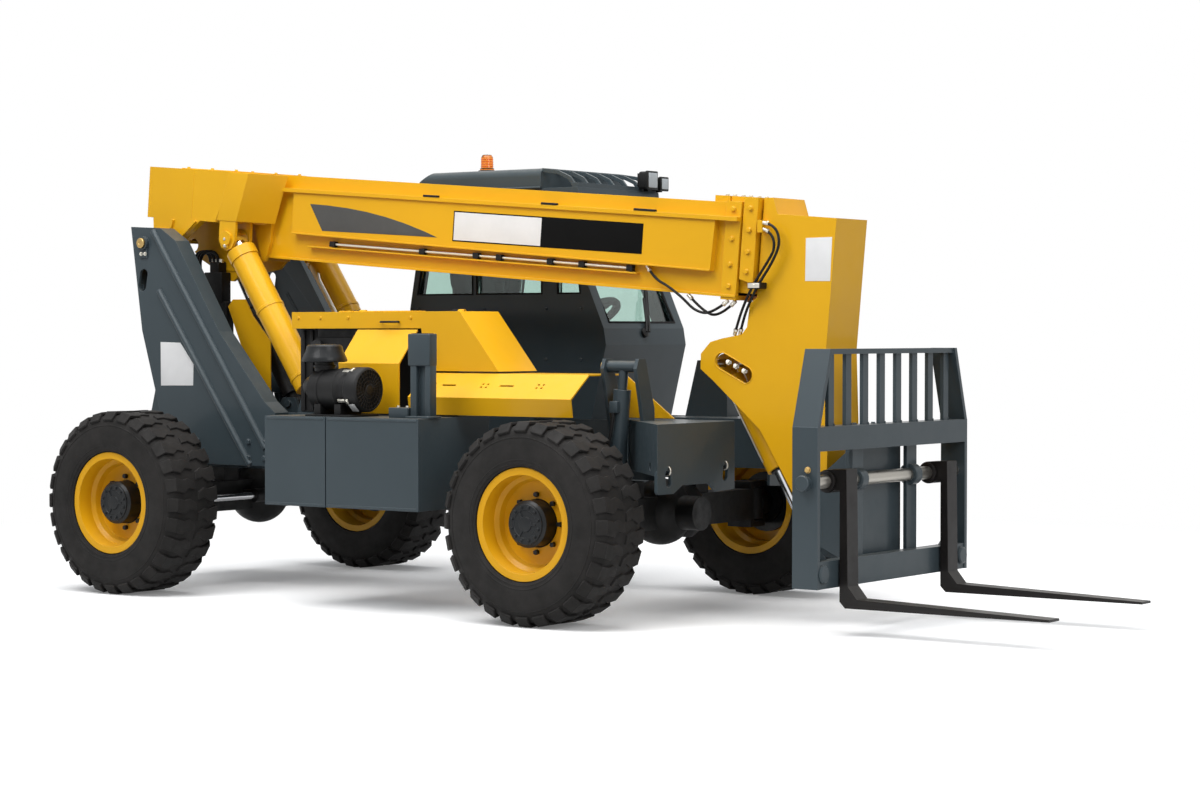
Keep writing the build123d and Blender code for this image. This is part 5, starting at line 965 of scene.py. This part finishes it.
def cylinder_fittings():
    along = (LIFT_PIN - LIFT_FOOT).normalized()
    for side, tag in SIDES:
        base = LIFT_FOOT + Vector((0, side * 0.325, 0))
        bands = [
            moved(turned("band", [(0.0815, 0), (0.0835, 0.002), (0.0835, 0.018), (0.0815, 0.02)], 40),
                  facing(base + along * reach, along)) for reach in (0.16, 0.62)
        ]
        dress(joined(f"lift_bands_{tag}", bands), "lift_barrels", yellow)
        route = [base + along * reach + Vector((0, -side * inward, 0)) for reach, inward in (
            (0.13, 0.07), (0.15, 0.094), (0.2, 0.096), (0.8, 0.096), (0.86, 0.096), (0.9, 0.07))]
        dress(pipe(f"lift_line_{tag}", route, 0.007), "lift_barrels", zinc, 60)
        wiper = turned(f"lift_wiper_{tag}", [(0.052, 0), (0.062, 0.002), (0.062, 0.01), (0.05, 0.014)], 40)
        dress(moved(wiper, facing(base + along * 1.034, along)), "lift_barrels", black_plastic)
    along = (TILT_EYE - TILT_HEAD).normalized()
    wiper = turned("tilt_wiper", [(0.034, 0), (0.044, 0.002), (0.044, 0.01), (0.032, 0.013)], 40)
    dress(moved(wiper, facing(TILT_HEAD + along * 0.619, along)), "tilt_barrel", black_plastic)
    out = along.cross(Vector((0, 1, 0)))
    route = [TILT_HEAD + along * reach - out * off for reach, off in (
        (0.12, 0.05), (0.14, 0.066), (0.2, 0.068), (0.5, 0.068), (0.56, 0.066), (0.58, 0.05))]
    dress(pipe("tilt_line", route, 0.006), "tilt_barrel", zinc, 60)


# ---------------------------------------------------------------- cab
def gasket(name, outline, y_or_place, body, radius=0.009):
    """A rubber seal around a window, given in its side view."""
    seal = pipe(name, [(x, z, 0) for x, z in outline], radius, smooth=False, closed=True)
    return dress(moved(seal, y_or_place), body, gasket_rubber, 60)


def cab_outside():
    lights = (
        ((-1.905, 1.665), (-1.5, 1.665), (-1.5, 2.18), (-1.8, 2.18)),
        ((-1.47, 1.665), (-1.01, 1.665), (-1.01, 2.18), (-1.47, 2.18)),
        ((-0.9, 1.665), (-0.745, 1.665), (-0.808, 2.18), (-0.9, 2.18)),
    )
    for index, light in enumerate(lights):
        outline = [(FRONT_X + x, z) for x, z in light]
        gasket(f"side_gasket_{index}", outline, beside(0.301, -1), "chassis", 0.007)
    door_light = ((-1.76, 1.5), (-1.68, 2.12), (-0.925, 2.12), (-0.86, 1.706), (-0.775, 1.5))
    outline = [(FRONT_X + x, z) for x, z in door_light]
    gasket("door_gasket", outline, beside(1.079, 1), "door", 0.008)
    # windscreen seal, leaning with the glass
    low_edge, high_edge = ahead(-0.602, 0, 1.505), ahead(-0.706, 0, 1.706)
    eave = ahead(-0.776, 0, 2.178)
    route = [(*low_edge.xz, 0.372), (*high_edge.xz, 0.372), (*eave.xz, 0.372), (*eave.xz, 1.008),
             (*high_edge.xz, 1.008), (*low_edge.xz, 1.008)]
    seal = pipe("windscreen_gasket", [(x, y, z) for x, z, y in route], 0.008, smooth=False, closed=True)
    dress(seal, "chassis", gasket_rubber, 60)
    # wiper: motor cap, arm and blade on the windscreen
    motor = turned("wiper_motor", [(0.026, 0), (0.028, 0.003), (0.028, 0.016), (0.016, 0.022)], 24)
    motor = moved(motor, facing(ahead(-0.585, 0.68, 1.445), (1, 0, 0.4)))
    arm = pipe("wiper_arm", [ahead(-0.565, 0.68, 1.452), ahead(-0.59, 0.715, 1.52),
                             ahead(-0.66, 0.79, 1.64)], 0.008, smooth=False)
    second = pipe("wiper_arm", [ahead(-0.565, 0.708, 1.452), ahead(-0.592, 0.742, 1.52),
                                ahead(-0.655, 0.808, 1.628)], 0.007, smooth=False)
    blade = pipe("wiper_blade", [ahead(-0.592, 0.735, 1.5), ahead(-0.692, 0.85, 1.706),
                                 ahead(-0.712, 0.88, 1.85)], 0.012, smooth=False)
    dress(joined("windscreen_wiper", [motor, arm, second, blade]), "chassis", black_plastic)
    # two work lamps with their stirrups, fins and lenses
    housings = [turned("beacon_seat", [(0.052, 2.362), (0.052, 2.386), (0.046, 2.3895)], 32)]
    housings[0].data.transform(Matrix.Translation((-1.26, 0.7, 0)))
    for index, (y, z, size) in enumerate(((0.93, 2.312, 0.05), (1.05, 2.296, 0.038))):
        shells = [
            block(name, (x0, y - half, z - half), (x1, y + half, z + half), bevel, segments)
            for name, x0, x1, half, bevel, segments in (
                ("lamp", -0.312, -0.246, size, 0.012, 4), ("bezel", -0.262, -0.244, size + 0.003, 0.006, 3),
                (f"work_lamp_lens_{index}", -0.248, -0.2405, size - 0.008, 0.003, 3))
        ]
        dress(shells.pop(), "chassis", lamp_face)
        housings += shells
        housings.append(block("stirrup", (-0.3, y - 0.012, 2.25),
                              (-0.27, y + 0.012, z - size + 0.004), 0.002))
        starts = [y - size + 0.012 + 0.016 * fin for fin in range(5)]
        housings += [block("fin", (-0.326, start, z - size + 0.01), (-0.308, start + 0.004, z + size - 0.01),
                           0.001) for start in starts]
    piece = dress(joined("work_lamps", housings), "chassis", black_plastic)
    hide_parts("roof_lamps")
    # beacon: clamp ring and ribs of the dome
    dome = Matrix.Translation(ahead(-1.71, 0.7, 2.39))
    ribs = [moved(ring("rib", radius, 0.0012, 40), dome @ Matrix.Translation((0, 0, height)))
            for radius, height in ((0.0368, 0.024), (0.0364, 0.038), (0.036, 0.052), (0.0354, 0.066))]
    dress(joined("beacon_ribs", ribs), "chassis", amber, 60)
    collar = moved(turned("beacon_collar", [(0.054, -0.026), (0.056, -0.024), (0.056, -0.004), (0.048, 0.002),
                                            (0.04, 0.004)], 32), dome)
    dress(collar, "chassis", black_plastic)
    # door handle and grab rail
    handle = pipe("door_handle", [ahead(-0.865, 1.112, 1.325), ahead(-0.865, 1.135, 1.31),
                                  ahead(-0.865, 1.135, 1.2), ahead(-0.865, 1.112, 1.185)], 0.008)
    dress(handle, "door", black_plastic)
    rail = pipe("grab_rail", [ahead(-0.705, 1.078, 1.1), ahead(-0.69, 1.12, 1.11),
                              ahead(-0.65, 1.125, 1.3), ahead(-0.63, 1.125, 1.42),
                              ahead(-0.64, 1.078, 1.45)], 0.01)
    dress(rail, "chassis", axle_black)
    # drip rails over the side windows
    drips = [
        pipe("drip", [ahead(-1.86, y, 2.253), ahead(-1.01, y, 2.253)], 0.007, smooth=False)
        for y in (0.29, 1.09)
    ]
    dress(joined("roof_drips", drips), "chassis", blue_grey)
    # bolts of the cab's side panels
    spots = [((FRONT_X + x, 0.3, z), (0, -1, 0)) for x in (-1.9, -1.42, -0.98, -0.74)
             for z in (1.3, 1.58)]
    bolts("cab_side_bolts", "chassis", 0.009, spots, blue_grey)


def cushion(name, outline, width, y_middle, channels):
    """A padded seat part: its side outline made thick, rounded, and blown up like foam under vinyl."""
    piece = cut_plate(name, outline, width, 0.004)
    moved(piece, Matrix.Translation((0, y_middle + width / 2, 0)) @ Matrix.Rotation(radians(90), 4, "X"))
    pick(piece)
    grid = piece.modifiers.new("grid", "REMESH")
    grid.mode = "VOXEL"
    grid.voxel_size = 0.012
    bpy.ops.object.modifier_apply(modifier=grid.name)
    start = [vertex.co.copy() for vertex in piece.data.vertices]
    seams = piece.vertex_groups.new(name="seams")
    held = [i for i, place in enumerate(start)
            if any(abs(place.y - y_middle - line) < 0.008 for line in channels)]
    seams.add(held, 1.0, "REPLACE")
    cloth = piece.modifiers.new("foam", "CLOTH")
    cloth.settings.use_pressure = True
    cloth.settings.uniform_pressure_force = 4
    cloth.settings.effector_weights.gravity = 0
    cloth.settings.vertex_group_mass = seams.name
    for step in range(1, 21):
        scene.frame_set(step)
    bpy.ops.object.modifier_apply(modifier=cloth.name)
    scene.frame_set(1)
    limit = 0.016
    for vertex, before in zip(piece.data.vertices, start):
        step = vertex.co - before
        if step.length > limit:
            vertex.co = before + step.normalized() * limit
    finer = piece.modifiers.new("finer", "SUBSURF")
    finer.levels = 1
    finer.render_levels = 1
    pick(piece)
    bpy.ops.object.modifier_apply(modifier=finer.name)
    piece.vertex_groups.clear()
    dress(piece, "chassis", seat_vinyl, 60)
    return piece


def cab_inside():
    middle = CAB_MIDDLE
    base = [(-1.285, 1.125), (-0.81, 1.118), (-0.795, 1.165), (-0.825, 1.212), (-1.27, 1.205)]
    back = [(-1.205, 1.225), (-1.28, 1.235), (-1.368, 1.79), (-1.345, 1.815), (-1.305, 1.812), (-1.285, 1.77)]
    seat_base = cushion("seat_cushion", base, 0.46, middle, (-0.12, 0.12))
    seat_back = cushion("seat_backrest", back, 0.43, middle, (-0.11, 0.11))
    box = block("seat_box", (-1.24, middle - 0.17, 0.846), (-0.84, middle + 0.17, 1.06), 0.01, 3)
    pan = block("seat_pan", (-1.29, middle - 0.215, 1.08), (-0.81, middle + 0.215, 1.118), 0.012, 3)
    folds = [
        block("fold", (-1.225 + 0.004 * (fold % 2), middle - 0.15, 1.058 + fold * 0.005),
              (-0.855 - 0.004 * (fold % 2), middle + 0.15, 1.064 + fold * 0.005), 0.001) for fold in range(5)
    ]
    base_piece = dress(joined("seat_suspension", [box, pan, *folds]), "chassis", black_plastic)
    for part in (seat_base, seat_back, base_piece):
        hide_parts("seat")
    # steering wheel rim, armrest with its joystick, pedals and instrument hood
    wheel_place = facing(ahead(-0.975, middle, 1.53), (-0.175, 0, 0.28))
    rim = moved(ring("wheel_grip", 0.178, 0.0235, 64), wheel_place)
    knob = moved(turned("wheel_knob", [(0.01, 0.018), (0.01, 0.045), (0.022, 0.05), (0.024, 0.065),
                                       (0.016, 0.075)], 20), wheel_place @ Matrix.Translation((0.178, 0, 0)))
    dress(joined("steering_wheel_grip", [rim, knob]), "chassis", black_plastic, 60)
    arm = block("armrest", (-1.16, 0.405, 1.27), (-0.84, 0.465, 1.31), 0.012, 3)
    post = block("arm_post", (-1.1, 0.415, 1.08), (-1.04, 0.455, 1.275), 0.006)
    stick = turned("stick", [(0.022, 0), (0.018, 0.012), (0.008, 0.02), (0.008, 0.07), (0.018, 0.08),
                             (0.021, 0.11), (0.02, 0.15), (0.012, 0.165)], 20)
    stick = moved(stick, facing((-0.875, 0.435, 1.308), (0.15, 0, 1)))
    dress(joined("joystick_arm", [arm, post, stick]), "chassis", black_plastic)
    hood = block("instrument_hood", (-0.545, middle - 0.15, 1.296), (-0.345, middle + 0.15, 1.345), 0.018, 4)
    dress(hood, "chassis", black_plastic)
    pedals = [block("pedal", (-0.56, y - 0.04, 0.905), (-0.53, y + 0.04, 0.99), 0.006, 3)
              for y in (0.59, 0.79)]
    dress(joined("pedals", pedals), "chassis", worn_steel)


# ---------------------------------------------------------------- carriage and forks
def carriage_fittings():
    shaft_x, shaft_z = FORK_SHAFT.x, FORK_SHAFT.z
    sleeve = turned("fork_shaft_face", [(0.0322, -0.718), (0.0329, -0.716), (0.0329, 0.716),
                                        (0.0322, 0.718)], 36)
    dress(moved(sleeve, facing((shaft_x, 0, shaft_z), (0, 1, 0))), "carriage", worn_steel)
    for side, tag in SIDES:
        way = (0, side, 0)
        end = turned(f"shaft_end_{tag}", [(0.036, 0), (0.038, 0.003), (0.038, 0.018), (0.034, 0.022)], 32)
        end = moved(end, facing((shaft_x, side * 0.764, shaft_z), way))
        dress(end, "carriage", blue_grey)
        spot = (shaft_x + 0.012, side * 0.745, shaft_z + 0.062)
        bolts(f"shaft_lock_bolts_{tag}", "carriage", 0.015, [(spot, way)], yellow_zinc)
        # gussets in the lower corners and round stops on the lower bar
        gusset = cut_plate(f"carriage_gusset_{tag}", [(0.56, 0.36), (0.715, 0.36), (0.715, 0.47)],
                           0.012, 0.002)
        turn = Matrix(((0, 0, 1, 1.79), (side, 0, 0, 0), (0, 1, 0, 0), (0, 0, 0, 1)))
        gusset = moved(gusset, turn)
        dress(gusset, "carriage", blue_grey)
        stop = turned(f"fork_stop_{tag}", [(0.04, 0), (0.044, 0.004), (0.044, 0.02), (0.036, 0.026)], 28)
        stop = moved(stop, facing((1.845, side * 0.69, 0.3), (1, 0, 0)))
        # the fork's hanger collars
        fork_y = side * 0.5
        collars = [
            moved(turned("collar", [(0.046, 0), (0.05, 0.002), (0.05, 0.014), (0.046, 0.016)], 28),
                  facing((shaft_x, fork_y + edge * 0.051, shaft_z), (0, edge, 0))) for edge in (-1, 1)
        ]
        dress(joined(f"fork_collars_{tag}", collars), f"fork_{tag}", forged_black)
        dress(stop, "carriage", blue_grey)
    # shaft saddles on the two inner uprights, welded up with round bosses
    saddles = []
    for y in (-0.268, 0.268):
        boss = turned("boss", [(0.05, -0.03), (0.054, -0.026), (0.054, 0.026), (0.05, 0.03)], 32)
        saddles.append(moved(boss, facing((shaft_x, y, shaft_z), (0, 1, 0))))
    dress(joined("shaft_saddles", saddles), "carriage", blue_grey)
    # bolts on the middle bar and welds at the slats' feet
    spots = [((1.8, y, 1.000), (0, 0, 1)) for y in (-0.3, -0.12, 0.1, 0.3)]
    bolts("middle_bar_bolts", "carriage", 0.011, spots, blue_grey)
    slats = [(index - 3.5) * 2 * 0.57 / 7 for index in range(8)]
    welds = [pipe("weld", [(1.83, y + edge, 0.996), (1.83, y + edge, 1.012)], 0.004, smooth=False)
             for y in slats for edge in (-0.026, 0.026)]
    dress(joined("slat_welds", welds), "carriage", blue_grey)


# ---------------------------------------------------------------- floor, light and camera
def white_for_sight(tree):
    """A factor that is 1 for rays from the lens, mirrors and glass."""
    path = add_node(tree, "ShaderNodeLightPath")
    seen = add_node(tree, "ShaderNodeMath", {"operation": "MAXIMUM"},
                    {0: path.outputs["Is Camera Ray"], 1: path.outputs["Is Glossy Ray"]})
    return add_node(tree, "ShaderNodeMath", {"operation": "MAXIMUM"},
                    {0: seen.outputs[0], 1: path.outputs["Is Transmission Ray"]}).outputs[0]


def studio():
    deselect()
    bpy.ops.mesh.primitive_plane_add(size=90, location=(0, 0, 0))
    floor = bpy.context.object
    floor.name = "studio_floor"
    material = bpy.data.materials.new("matt_white_floor")
    tree = emptied(material)
    seen = white_for_sight(tree)
    colour = add_node(tree, "ShaderNodeMix", {"data_type": "RGBA", 6: grey(0.5), 7: grey(0.93)}, {0: seen})
    diffuse = add_node(tree, "ShaderNodeBsdfDiffuse", links={"Color": colour.outputs[2]})
    lift = add_node(tree, "ShaderNodeMath", {"operation": "MULTIPLY", 1: 0.14}, {0: seen})
    glow = add_node(tree, "ShaderNodeEmission", {"Color": grey(1)}, {"Strength": lift.outputs[0]})
    near = add_node(tree, "ShaderNodeAddShader", links={0: diffuse.outputs[0], 1: glow.outputs[0]})
    # between 3.8 and 7.5 m out the floor turns into plain white backdrop
    far = add_node(tree, "ShaderNodeEmission", {"Color": grey(1)}, {"Strength": seen})
    place = add_node(tree, "ShaderNodeTexCoord").outputs["Object"]
    reach = add_node(tree, "ShaderNodeVectorMath", {"operation": "LENGTH"}, {0: place})
    share = add_node(tree, "ShaderNodeMath", {"operation": "DIVIDE", 1: 10.0}, {0: reach.outputs["Value"]})
    fade = add_node(tree, "ShaderNodeValToRGB", {"stops": ((0.38, grey(0)), (0.75, grey(1)))},
                    {"Fac": share.outputs[0]})
    both = add_node(tree, "ShaderNodeMixShader",
                    links={0: fade.outputs[0], 1: near.outputs[0], 2: far.outputs[0]})
    add_node(tree, "ShaderNodeOutputMaterial", links={"Surface": both.outputs[0]})
    floor.data.materials.append(material)

    world = bpy.data.worlds.new("studio")
    scene.world = world
    tree = emptied(world)
    backdrop = add_node(tree, "ShaderNodeBackground", {"Color": grey(1), "Strength": 1.0})
    fill = add_node(tree, "ShaderNodeBackground", {"Color": (0.93, 0.96, 1, 1), "Strength": 0.4})
    mix = add_node(tree, "ShaderNodeMixShader",
                   links={0: white_for_sight(tree), 1: fill.outputs[0], 2: backdrop.outputs[0]})
    add_node(tree, "ShaderNodeOutputWorld", links={"Surface": mix.outputs[0]})

    for name, place, aim, size, power in (
        ("top_softbox", (0, -1.0, 9.0), (0, 0, 1), 9, 900),
        ("key_softbox", (-2.0, -7.0, 8.5), (0, 0, 1.0), 5, 520),
        ("front_softbox", (9.0, -4.0, 6.0), (0.5, 0, 1.0), 5, 330),
    ):
        lamp = bpy.data.lights.new(name, "AREA")
        lamp.size = size
        lamp.energy = power
        holder = bpy.data.objects.new(name, lamp)
        scene.collection.objects.link(holder)
        holder.location = place
        holder.rotation_euler = (Vector(aim) - Vector(place)).to_track_quat("-Z", "Y").to_euler()

    lens = bpy.data.cameras.new("camera")
    lens.lens = 80.12
    lens.sensor_width = 36
    lens.clip_end = 200
    camera = bpy.data.objects.new("camera", lens)
    scene.collection.objects.link(camera)
    camera.location = (8.3958, -11.5567, 1.4464)
    camera.rotation_euler = (radians(90 - 1.44), 0, radians(35.815))
    scene.camera = camera
    scene.view_settings.view_transform = "Standard"


studio()
boom_hoses()
side_signs()
boom_fittings()
goose_fittings()
wheels()
axle_fittings()
frame_fittings()
level_fittings()
box_fittings()
guard()
hood_fittings()
air_cleaner()
exhaust()
tower_pipes()
cylinder_fittings()
cab_outside()
cab_inside()
carriage_fittings()
